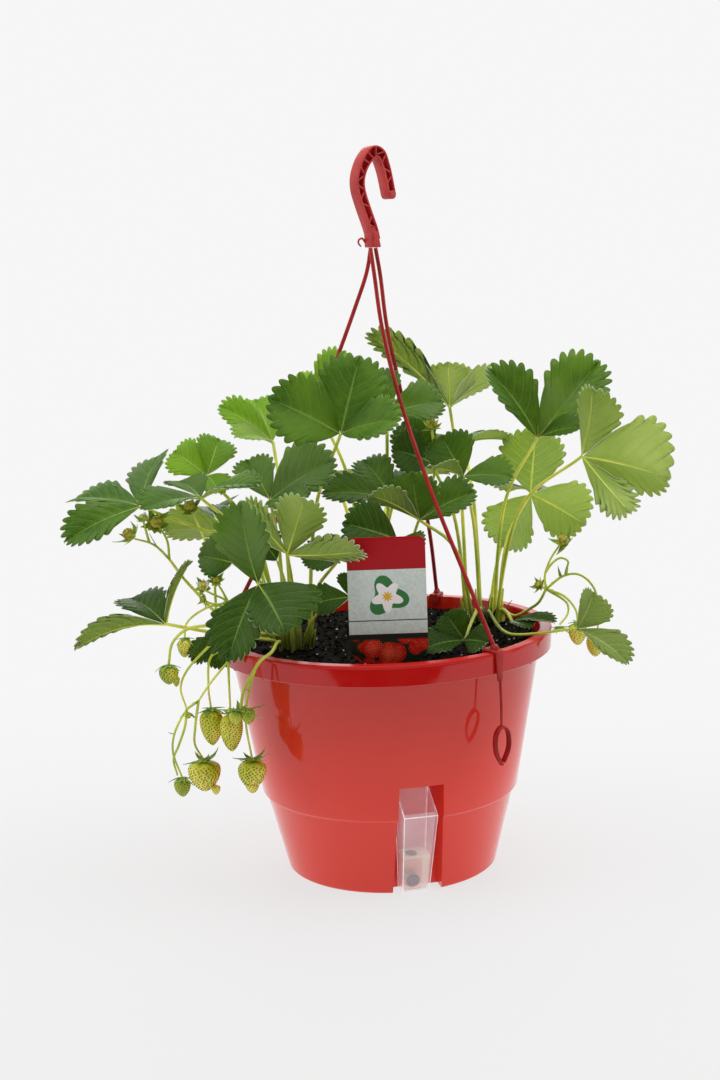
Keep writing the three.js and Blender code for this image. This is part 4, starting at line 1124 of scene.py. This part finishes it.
def leaf(number, root, hub, leaflets, via=None, radius=1.6, backlit=False, turned=False):
    """One leaf: its hairy stalk and its veined leaflets, thin but solid, paler underneath or turned over."""
    name = f"leaf_{number:02d}"
    seed = sum(ord(letter) * (i + 1) for i, letter in enumerate(name))
    foot = root_of(*root)
    middle = Vector(via) if via else Vector(
        foot[i] + (hub[i] - foot[i]) * share for i, share in enumerate((0.3, 0.3, 0.68)))
    line = curve_points([foot, foot + UP * 12, middle, Vector(hub)], 30)
    sheets, ribs = [], []
    for i, (tip, width, face, *shape) in enumerate(leaflets):
        sheet, rib = bent_leaflet(hub, tip, width, face, seed + i, **(shape[0] if shape else {}))
        sheets.append(sheet)
        ribs.append(rib)
    # Leaves lit from behind take the brighter copies of the finishes: painted light.
    faces = (BACKLIT_TOP, BACKLIT_UNDER) if backlit else (LEAF_TOP, LEAF_UNDER)
    blades = painted(joined(*sheets), *(reversed(faces) if turned else faces), STEM, FUZZ)
    applied(blades, "SOLIDIFY", thickness=BLADE * MM, offset=-1, material_offset=1, material_offset_rim=3)
    stalk = painted(joined(stem("stalk", line, radius * 1.15, radius * 0.8), *ribs), STEM)
    whole = joined(rounded(blades), stalk, hairs(line[3:], radius, 1.7, 1.1, seed))
    finished(whole, f"{name}_fine", name)


def sheet_master(name, columns, rows):
    """A flat sheet that leaflets, sepals, petals and sheaths are bent from, mapped over the whole of it."""
    bpy.ops.mesh.primitive_grid_add(x_subdivisions=columns, y_subdivisions=rows, size=2, calc_uvs=True)
    made = bpy.context.object
    made.name = name
    return made


LEAFLET = sheet_master("leaflet_master", 10, 8 * VEINS)
LEAFLET.data.uv_layers[0].name = "leaf"
STRAP = sheet_master("strap_master", 4, 8)
# A hair is a three-sided spike with a width and length of one, for towards() to size.
HAIR = mesh_object("hair_master", [(-0.5, -0.29, 0), (0.5, -0.29, 0), (0, 0.58, 0), (0, 0, 1)],
                   [(0, 1, 3), (1, 2, 3), (2, 0, 3)])
HAIR.data.transform(Matrix.Scale(1 / MM, 4))


def leaves():
    """Every leaf: its number, where it is rooted, its hub, and its leaflets."""
    # Left crown. Each leaflet has its tip, its width and the way its upper side faces.
    leaf(1, ("left", 6), (-189, -30, 307), [
        ((-247, -52, 284), 36, (0, -0.8, 1)),
        ((-248, 6, 308), 36, (0, -0.35, 1)),
        ((-178, 20, 340), 38, (-0.6, -0.9, 0.3))])
    leaf(2, ("left", 4.6, 1), (-142, 36, 321), [
        ((-170, 54, 340), 33, (-0.2, -1, 0.5)),
        ((-133, 64, 348), 33, (0.2, -1, 0.4)),
        ((-129, 8, 309), 26, (0.2, -1, 0.6))], backlit=True)
    leaf(3, ("left", 5.5), (-142, -24, 311), [
        ((-186, -54, 308), 36, (0, -0.35, 1)),
        ((-163, 14, 319), 34, (0, -0.2, 1)),
        ((-94, -60, 324), 30, (0, -0.3, 1))])
    leaf(4, ("left", 3.4), (-86, 32, 347), [
        ((-128, 22, 379), 30, (-0.5, -0.6, 1)),
        ((-114, -4, 356), 32, (0, -0.7, 1)),
        ((-101, 60, 380), 36, (0, -0.8, 1))], backlit=True)
    leaf(5, ("left", 0.2), (-29, -32, 359), [
        ((-83, -54, 391), 54, (-0.2, -1, 0.5)),
        ((-12, -18, 418), 52, (0, -1, 0.3)),
        ((18, -60, 371), 42, (0.2, -0.9, 0.8))])
    leaf(7, ("left", 8.2), (-95, -92, 253), [
        ((-104, -108, 319), 42, (-0.4, -1, 0.2)),
        ((-118, -122, 201), 42, (-0.4, -1, 0.4)),
        ((-74, -124, 221), 58, (0.3, -1, 0.5), {"skew": -0.25})])
    leaf(8, ("left", 7.4), (-116, -58, 264), [
        ((-142, -66, 272), 34, (0, -1, 0.5)),
        ((-122, -32, 280), 28, (0, -0.8, 1))])
    leaf(9, ("left", 9.2), (-73, -70, 271), [
        ((-104, -84, 316), 22, (-0.6, 1, 0.1)),
        ((-57, -88, 317), 38, (0.2, 1, 0.4)),
        ((-15, -116, 280), 26, (0, 0.9, 0.5), {"arch": -0.02})])
    leaf(10, ("left", 3.9, 1), (-87, -26, 308), [
        ((-34, -36, 339), 44, (0, -0.9, 0.7), {"skew": -0.15}),
        ((-106, 0, 337), 32, (0, -0.9, 0.7)),
        ((-61, -64, 307), 34, (0, -0.7, 0.9))])
    leaf(23, ("left", 6.7), (-171, -62, 218), [
        ((-240, -76, 204), 30, (0.1, 0.7, 1), {"arch": 0.1}),
        ((-150, -50, 265), 22, (-1, 0.1, 0.3)),
        ((-204, -14, 229), 38, (0, -0.4, 1))], via=(-126, -56, 207))
    leaf(24, ("left", 7.1, 1), (-127, -62, 208), [
        ((-151, -74, 191), 19, (-0.2, -1, 0.4)),
        ((-133, -74, 184), 21, (0.2, -1, 0.3))], via=(-106, -50, 212), radius=1.2)
    leaf(25, ("left", 10.4), (-26, -60, 234), [
        ((-57, -66, 230), 28, (0, -0.9, 0.8)),
        ((-24, -50, 251), 22, (0, -0.9, 0.8))], radius=1.2)
    leaf(26, ("left", 11.2), (-35, -44, 260), [
        ((-63, -52, 264), 30, (0, -0.8, 0.8)),
        ((-33, -14, 274), 24, (0, -0.6, 1))])
    leaf(27, ("left", 8.9, 1), (-82, -46, 262), [
        ((-97, -50, 283), 28, (0, -0.8, 0.8))])
    leaf(29, ("left", 5.1, 1), (-122, 14, 276), [
        ((-178, 18, 280), 38, (0, 0.9, 0.6)),
        ((-126, 62, 290), 38, (0, 0.5, 1))])

    # Right crown.
    leaf(11, ("right", 8, 1), (31, -36, 289), [
        ((26, -40, 328), 42, (-0.3, -1, 0.4)),
        ((75, -44, 311), 38, (0, -0.7, 0.9)),
        ((-8, -62, 314), 26, (0, 0.8, 1))])
    leaf(15, ("right", 8.7), (68, 4, 317), [
        ((51, 16, 349), 42, (0, -1, 0.5)),
        ((107, -6, 316), 34, (0, -0.7, 0.9)),
        ((42, -22, 328), 24, (0, 0.4, 1))])
    leaf(16, ("right", 6.4), (60, 42, 370), [
        ((-5, 62, 431), 25, (0, 0.7, 0.7)),
        ((102, 66, 391), 36, (0, 0.7, 0.7)),
        ((60, 50, 406), 46, (0, 1, 0.25))])
    leaf(17, ("right", 11.2), (130, 22, 344), [
        ((90, 20, 402), 44, (0.8, -1, 0.3), {"fold": 0.5}),
        ((183, 40, 403), 47, (0.1, -1, 0.4), {"skew": -0.15}),
        ((164, 0, 354), 28, (0, -0.6, 1))])
    leaf(18, ("right", 10.5, 1), (161, -20, 333), [
        ((169, -30, 388), 44, (0.7, 0.7, 0.2), {"fold": 0.5}),
        ((225, -50, 317), 62, (0.2, 1, 0.3), {"skew": 0.28}),
        ((192, -70, 294), 25, (-0.3, 1, 0.3))], via=(116, 10, 292))
    leaf(19, ("right", 1, 1), (129, 92, 288), [
        ((136, 100, 342), 56, (0, 1, 0.3)),
        ((104, 80, 245), 50, (0, 1, 0.5)),
        ((175, 88, 260), 54, (0, 1, 0.3))], backlit=True)
    leaf(20, ("right", 9.8), (150, -62, 203), [
        ((165, -50, 229), 40, (0.8, -1, 0.3), {"fold": 0.5}),
        ((187, -84, 179), 34, (0.3, -0.4, 1))], via=(101, -44, 196), radius=1.3, turned=True)
    leaf(21, ("right", 11.1, 1), (104, -3, 197), [
        ((136, -25, 200), 24, (0, -0.1, 1)),
        ((115, -33, 198), 18, (0, -0.2, 1))], via=(102, 16, 200))
    leaf(22, ("right", 9, 1), (62, -62, 197), [
        ((48, -58, 218), 29, (-0.2, -1, 0.5)),
        ((28, -78, 194), 28, (0, -0.6, 1)),
        ((80, -74, 197), 28, (0, -0.8, 0.7))], via=(76, -6, 209))
    leaf(28, ("right", 7.4, 1), (43, 30, 326), [
        ((11, 18, 339), 42, (0, -0.9, 0.6)),
        ((21, 38, 359), 40, (0, -1, 0.4))])

    # Middle crown.
    leaf(6, ("middle", 5), (-54, 78, 375), [
        ((-74, 92, 392), 34, (0, -0.8, 1)),
        ((-25, 98, 415), 28, (0, -1, 0.6)),
        ((-66, 130, 376), 44, (0, 0, 1))], backlit=True)
    leaf(12, ("middle", 9.6), (11, -4, 301), [
        ((-46, -16, 310), 36, (0, -0.6, 1)),
        ((27, 30, 316), 32, (0, -0.6, 1)),
        ((-13, 34, 329), 30, (0, -0.8, 1))])
    leaf(13, ("middle", 9), (13, -66, 279), [
        ((-29, -70, 294), 42, (0, -1, 0.5)),
        ((30, -58, 266), 30, (0, -1, 0.6))])
    leaf(14, ("middle", 1.2), (8, 8, 369), [
        ((54, 12, 377), 38, (0, -0.9, 0.8)),
        ((0, 32, 402), 34, (0, -1, 0.4)),
        ((-35, 28, 378), 34, (0, -0.6, 1))])

    # Behind the plant, where the photograph shows little or nothing.
    leaf(31, ("left", 4.5), (-141, 82, 277), [
        ((-184, 106, 274), 40, (-0.2, 0.2, 1)),
        ((-148, 142, 276), 44, (-0.2, 0.3, 1))])
    leaf(32, ("middle", 4.2, 1), (-76, 122, 348), [
        ((-118, 140, 344), 38, (-0.2, 0.3, 1)),
        ((-86, 190, 344), 45, (-0.1, 0.4, 1)),
        ((-38, 152, 346), 42, (0, 0.3, 1))])
    leaf(33, ("middle", 2.6), (10, 150, 296), [
        ((-46, 172, 284), 46, (-0.1, 0.5, 1)),
        ((20, 208, 282), 52, (0, 0.6, 1)),
        ((62, 146, 300), 44, (0, 0.2, 1))])
    leaf(34, ("right", 3), (74, 112, 332), [
        ((114, 116, 332), 36, (0, 0.25, 1)),
        ((70, 180, 320), 46, (-0.1, 0.5, 1)),
        ((34, 136, 326), 40, (0, 0.3, 1))])
    leaf(35, ("right", 2, 1), (138, 136, 283), [
        ((172, 178, 270), 46, (0.3, 0.5, 1)),
        ((116, 188, 276), 46, (-0.2, 0.6, 1))])


# ---------------------------------------------------------------- flowers and fruit

SEPALS = 10
STAMENS = 44
SEED_TURN = 2.39996   # the golden angle, from each seed to the next


def strap(base, out, up, length, width, curl, shape, thickness=0.4, cup=0.25):
    """One bent strap: it starts at base, points along out and curls towards up over its length."""
    base, out, up = Vector(base), Vector(out).normalized(), Vector(up).normalized()
    side = out.cross(up).normalized()
    made = twin(STRAP)
    for vertex in made.data.vertices:
        across, along = vertex.co.x, (vertex.co.y + 1) / 2
        swell = 0.35 + 0.65 * math.sin(math.pi * min(along + 0.15, 1) ** shape)
        half = width / 2 * swell * (1 - along ** 4)
        turn = curl * along
        bends = abs(turn) > 1e-3
        reach = length * along * (math.sin(turn) / turn if bends else 1)
        rise = length * along * ((1 - math.cos(turn)) / turn if bends else 0)
        vertex.co = (base + out * reach + up * (rise + cup * half * across ** 2) + side * across * half) * MM
    return applied(made, "SOLIDIFY", thickness=thickness * MM, offset=0)


def calyx(at, radius, seed, lift=0.5):
    """Narrow sepals round a berry's top, curling up from it, or down with a lift under zero."""
    draw = random.Random(seed)
    parts = []
    for i in range(SEPALS):
        out = around(FULL_TURN * (i + draw.uniform(-0.2, 0.2)) / SEPALS) + UP * draw.uniform(-0.35, 0.15)
        length = radius * (draw.uniform(1.1, 1.5) if i % 2 else draw.uniform(0.75, 1.1))
        curl = draw.uniform(0.1, 1.3) * lift * 2
        parts.append(painted(strap(at, out, UP, length, radius * 0.36, curl, 0.6), SEPAL))
    return parts


def berry_radius(share):
    """The berry's half width from its top (0) to its tip (1), as a share of the widest."""
    if share < 0.3:
        return math.sqrt(max(1 - (1 - share / 0.3) ** 2.4, 0))
    return max(1 - ((share - 0.3) / 0.7) ** 2.0, 0) ** 0.72


def berry_body(top, width, length, skin, seed):
    """An unripe fruit with a seed in each dimple, and the seeds themselves."""
    draw = random.Random(seed)
    phase = draw.uniform(0, 6.3)
    lean = draw.uniform(-0.06, 0.06) * width
    inside = Vector((0, 0, -length * 0.4))

    def surface(share, turn):
        uneven = 1 + 0.05 * math.sin(2 * turn + phase) + 0.03 * math.sin(3 * turn - phase)
        r = width / 2 * berry_radius(share) * uneven
        return Vector((r * math.cos(turn) + lean * share, r * math.sin(turn), -length * share))

    seeds = []
    count = round(30 + 0.38 * width * length)
    for i in range(count):
        share = 0.04 + 0.93 * (0.06 + 0.9 * (i + 0.5) / count) ** 0.92
        turn = i * SEED_TURN + draw.uniform(-0.08, 0.08)
        at = surface(share, turn)
        across = surface(share, turn + 0.05) - surface(share, turn - 0.05)
        along = surface(min(share + 0.02, 0.999), turn) - surface(share - 0.02, turn)
        normal = along.cross(across).normalized()
        if normal.dot(at - inside) < 0:
            normal.negate()
        seeds.append((at, normal))

    bpy.ops.mesh.primitive_uv_sphere_add(segments=56, ring_count=36, radius=1)
    body = bpy.context.object
    centres = np.array([tuple(at) for at, _ in seeds])
    for vertex in body.data.vertices:
        share = math.acos(max(min(vertex.co.z, 1), -1)) / math.pi
        at = surface(share, math.atan2(vertex.co.y, vertex.co.x))
        near = np.min(np.sum((centres - np.array(at)) ** 2, axis=1))
        dent = 0.55 * math.exp(-near / 0.9) * min(width / 20, 1)
        vertex.co = (top + at + (inside - at).normalized() * dent) * MM

    bpy.ops.mesh.primitive_ico_sphere_add(subdivisions=1, radius=1)
    pip = bpy.context.object
    size = min(0.4 + width / 40, 1)
    places = [towards(top + at - normal * 0.3 * size, normal, 0.68 * size, 0.42 * size)
              for at, normal in seeds]
    pips = rounded(copies("pips", pip, places))
    bpy.data.objects.remove(pip)
    return [painted(rounded(body), skin), painted(pips, SEED)]


def berry(number, lobes, skin=BERRY):
    """A berry of one or more lobes, each with the middle of its top, its width and its length."""
    parts = []
    for i, (top, width, length) in enumerate(lobes):
        parts += berry_body(Vector(top) - UP * 0.4, width, length, skin, 40 + number + 20 * i)
    finished(joined(*parts), f"berry_{number}_fine", f"berry_{number}")


def flower(at, facing, width, seed, petals):
    """A spent flower: sepals behind its seeded heart, spent stamens round it, and the petals left."""
    at, facing = Vector(at), Vector(facing).normalized()
    across = facing.orthogonal().normalized()
    beside = facing.cross(across)
    draw = random.Random(seed)

    def leaning(turn, least, most):
        return around(turn, across, beside) + facing * draw.uniform(least, most)

    parts = []
    for i in range(SEPALS):
        out = leaning(FULL_TURN * (i + draw.uniform(-0.25, 0.25)) / SEPALS, -0.3, 0.5)
        length = width * (draw.uniform(0.95, 1.15) if i % 2 else draw.uniform(0.7, 0.9))
        curl = draw.uniform(0.4, 1.3)
        sepal = strap(at - facing * width * 0.3, out, facing, length, width * 0.5, curl, 0.6)
        parts.append(painted(sepal, SEPAL if i % 2 else STEM))

    bpy.ops.mesh.primitive_uv_sphere_add(segments=24, ring_count=14, radius=1)
    heart = bpy.context.object
    for vertex in heart.data.vertices:
        uneven = 1 + 0.12 * noise.noise(vertex.co * 5 + Vector((seed, 0, 0)))
        p = vertex.co * (uneven * width * 0.34)
        vertex.co = (at + across * p.x + beside * p.y + facing * p.z * 1.1) * MM
    parts.append(painted(rounded(heart), HEART))

    places = []
    for i in range(STAMENS):
        out = leaning(FULL_TURN * i / STAMENS + draw.uniform(-0.1, 0.1), 0.1, 1.2)
        foot = at - facing * width * 0.16 + out.normalized() * width * 0.24
        places.append(towards(foot, out, 0.4, width * draw.uniform(0.22, 0.42)))
    parts.append(painted(copies("stamens", HAIR, places), HEART))

    for _ in range(petals):
        out = leaning(draw.uniform(0, 6.3), 0.1, 0.6)
        petal = strap(at - facing * width * 0.15, out, facing, width * 0.75, width * 0.6, 0.9, 0.9, 0.25)
        parts.append(painted(petal, PETAL))
    return parts


def spray(name, root, stems, calyxes, flowers, bracts=()):
    """Fruit stalks that share one root, with their bracts, sepals and flowers.

    A stalk starts at the root or at a point of another one. A calyx has its place, its radius and at times
    its lift; a flower its place, the way it faces, its width and its petals; a bract its place, direction
    and length.
    """
    foot = root_of(*root)
    parts = []
    for i, points in enumerate(stems):
        rooted = points[0] == "root"
        if rooted:
            points = [foot, foot + UP * 9, *points[1:]]
        line = curve_points(points, 9 * (len(points) - 1))
        start, end = (1.5, 1.1) if rooted else (1.1, 0.75)
        parts.append(painted(stem("stalk", line, start, end), STEM))
        parts.append(hairs(line[1:], end * 0.9, 1.3, 1.6, len(points) + i))
        if not rooted:
            parts.append(painted(strap(points[0], line[3] - line[0], UP, 7, 2.6, 0.5, 0.7), SEPAL))
    for i, (at, radius, *lift) in enumerate(calyxes):
        parts += calyx(at, radius * 1.1, 7 * i + len(name), *lift)
    for i, (at, facing, width, petals) in enumerate(flowers):
        parts += flower(at, facing, width, 31 * i + len(name), petals)
    for at, out, length in bracts:
        parts.append(painted(strap(at, out, UP, length, length * 0.32, 0.5, 0.7), SEPAL))
    finished(joined(*parts), f"{name}_fine", name)


def sprays():
    """Every fruit stalk, and the berries on them."""
    spray("spray_left_upper", ("left", 6.4, 1), [
        ["root", (-114, -42, 208), (-132, -50, 223), (-147, -46, 239), (-157, -42, 250), (-168, -38, 265)],
        [(-168, -38, 265), (-177, -38, 275), (-183, -39, 279), (-194, -42, 283)],
        [(-183, -39, 279), (-187, -40, 298)],
        [(-168, -38, 265), (-169, -38, 280), (-175, -38, 292)],
        [(-132, -50, 223), (-135, -28, 257), (-143, -12, 278), (-152, -6, 299)],
        [(-114, -42, 208), (-121, -64, 234), (-132, -78, 244), (-138, -84, 249)],
        [(-121, -64, 234), (-125, -67, 244), (-129, -68, 251)],
        [(-121, -64, 234), (-130, -80, 236), (-138, -87, 241)],
    ], [], [((-177, -38, 295), (0.1, -0.8, 0.5), 14, 0), ((-198, -43, 287), (-1, -0.3, 0.7), 14, 0),
            ((-153, -6, 302), (-0.2, -0.6, 1), 13, 0), ((-187, -40, 299), (-0.2, 0.3, 1), 9, 4),
            ((-138, -84, 251), (-0.2, -0.9, 0.4), 9, 3), ((-129, -68, 253), (0.1, -0.8, 0.6), 8, 0),
            ((-138, -88, 242), (-0.8, -0.6, 0), 7, 0)],
          [((-157, -42, 250), (-1, -0.2, 0.2), 8), ((-177, -38, 275), (-0.6, -0.2, 1), 11)])
    spray("spray_left_hanging", ("left", 7.8, 1), [
        ["root", (-104, -66, 206), (-120, -80, 216), (-133, -84, 220), (-152, -84, 218), (-164, -82, 207),
         (-168, -80, 190)],
        [(-104, -66, 206), (-116, -68, 226), (-130, -70, 233), (-144, -70, 228), (-154, -69, 219),
         (-156, -67, 208)],
        [(-104, -66, 206), (-113, -84, 201), (-121, -90, 193), (-137, -87, 174), (-146, -84, 161)],
        [(-146, -84, 161), (-150, -81, 139), (-151, -80, 125), (-145, -80, 113)],
        [(-146, -84, 161), (-156, -80, 153), (-167, -77, 133), (-169, -76, 118), (-163, -76, 98)],
        [(-120, -80, 216), (-139, -78, 200), (-155, -78, 183), (-160, -78, 170), (-156, -80, 154)],
        [(-113, -84, 201), (-134, -81, 196), (-138, -82, 172), (-137, -80, 154)],
        [(-121, -90, 193), (-121, -92, 179), (-121, -92, 153)],
        [(-156, -80, 154), (-158, -80, 140), (-164, -79, 124), (-169, -75, 112), (-166.5, -75.5, 99)],
        ["root", (-84, -66, 201), (-88, -94, 199), (-95, -103, 196), (-99, -108, 191), (-109, -112, 173),
         (-111, -113, 161)],
        [(-99, -108, 191), (-105, -104, 173), (-109, -98, 148), (-106, -93, 116)],
    ], [((-168, -80, 189), 8, -0.4), ((-156, -67, 207), 7, -0.5), ((-137, -80, 153), 10, -0.1),
        ((-121, -92, 152), 8), ((-145, -80, 112), 12), ((-163, -76, 97), 8.5, -0.3),
        ((-111, -113, 160), 14, 0.2), ((-106, -93, 115), 12)],
          [((-155, -81, 149), (0.1, -0.2, -1), 7, 0)],
          [((-146, -84, 161), (-0.7, 0, -0.7), 13), ((-105, -104, 173), (-0.8, -0.6, 0.3), 6),
           ((-167, -77, 133), (-1, 0, 0.1), 5)])
    spray("spray_right", ("right", 11.8, 1), [
        ["root", (109, 20, 197), (119, 8, 205), (126, -4, 213), (131, -16, 226)],
        [(131, -16, 226), (130, -18, 237), (134, -20, 250), (143, -21, 264)],
        [(131, -16, 226), (124, -22, 231)],
        [(131, -16, 226), (145, -24, 221), (153, -30, 211), (154, -33, 202)],
        [(131, -16, 226), (145, -15, 236), (157, -15, 237), (168, -18, 228), (173, -22, 207),
         (170, -24, 190)],
        [(131, -16, 226), (147, -22, 215), (147, -25, 207), (140, -28, 199)],
        [(130, -18, 239), (136, -17, 247), (143, -16, 251), (149, -16, 248), (147, -16, 240)],
    ], [((154, -33, 201), 8, -0.3), ((169, -24, 189), 8, -0.3), ((140, -28, 197), 7, -0.4)],
          [((145, -21, 266), (-0.4, -0.3, 0.8), 13, 0), ((124, -22, 231), (-0.6, -0.4, 0.3), 8, 0)],
          [((143, -15, 235), (-0.3, -0.3, 1), 9), ((147, -15, 237), (0.2, -0.3, 1), 10)])
    spray("spray_middle", ("middle", 0.4), [
        ["root", (26, 36, 262), (46, 22, 322), (44, 14, 354)],
    ], [], [((44, 14, 359), (0, -0.5, 1), 11, 0)])

    berry(1, [((-168, -80, 189), 15, 15), ((-163, -80, 181), 6, 9)], YOUNG_BERRY)
    berry(2, [((-156, -67, 207), 12.5, 15)])
    berry(3, [((-145, -80, 112), 25, 25), ((-136, -83, 93), 7, 8)])
    berry(4, [((-163, -76, 97), 13, 15)], YOUNG_BERRY)
    berry(5, [((-137, -80, 153), 17.5, 29)])
    berry(6, [((-121, -92, 152), 18.5, 30)])
    berry(7, [((-115, -113, 160), 10.5, 11), ((-106, -113, 161), 11, 12)], YOUNG_BERRY)
    berry(8, [((-106, -93, 115), 22.5, 23), ((-107, -95, 99), 11, 10)])
    berry(9, [((154, -33, 201), 14.5, 18)])
    berry(10, [((169, -24, 189), 14.5, 18)])


def crown(side):
    """The crown's heart wrapped in papery sheaths, with the stubs of old stalks."""
    middle = Vector((*CROWNS[side], STALK_FOOT))
    draw = random.Random(len(side))
    heart = stem("heart", [middle + UP * (14 * i / 6) for i in range(7)], 8, 3, 4)
    parts = [painted(heart, SHEATH)]
    sheaths = 16
    for i in range(sheaths):
        out = around(FULL_TURN * (i + draw.uniform(-0.3, 0.3)) / sheaths)
        base = middle + out * draw.uniform(6, 17)
        length = draw.uniform(12, 24)
        lean = UP + out * draw.uniform(0.05, 0.3)
        width, curl = draw.uniform(4, 6.5), draw.uniform(0.2, 0.7)
        parts.append(painted(strap(base, lean, out, length, width, curl, 0.5, cup=0.7), SHEATH))
    stubs = 15
    for _ in range(stubs):
        out = around(draw.uniform(0, FULL_TURN))
        base = middle + out * draw.uniform(9, 17)
        top = base + UP * draw.uniform(14, 30) + out * draw.uniform(0, 7)
        stub = stem("stub", curve_points([base, base.lerp(top, 0.5), top], 6), 1.2, 0.8, 1)
        parts.append(painted(stub, STEM))
    finished(joined(*parts), f"crown_{side}_fine", f"crown_{side}")


# ---------------------------------------------------------------- the whole

pot()
trough()
soil()
tag()
hook()
for strand_side in STRAND_ROUTES:
    strand(strand_side)
leaves()
sprays()
for crown_side in CROWNS:
    crown(crown_side)
for master_piece in (LEAFLET, STRAP, HAIR):
    bpy.data.objects.remove(master_piece)
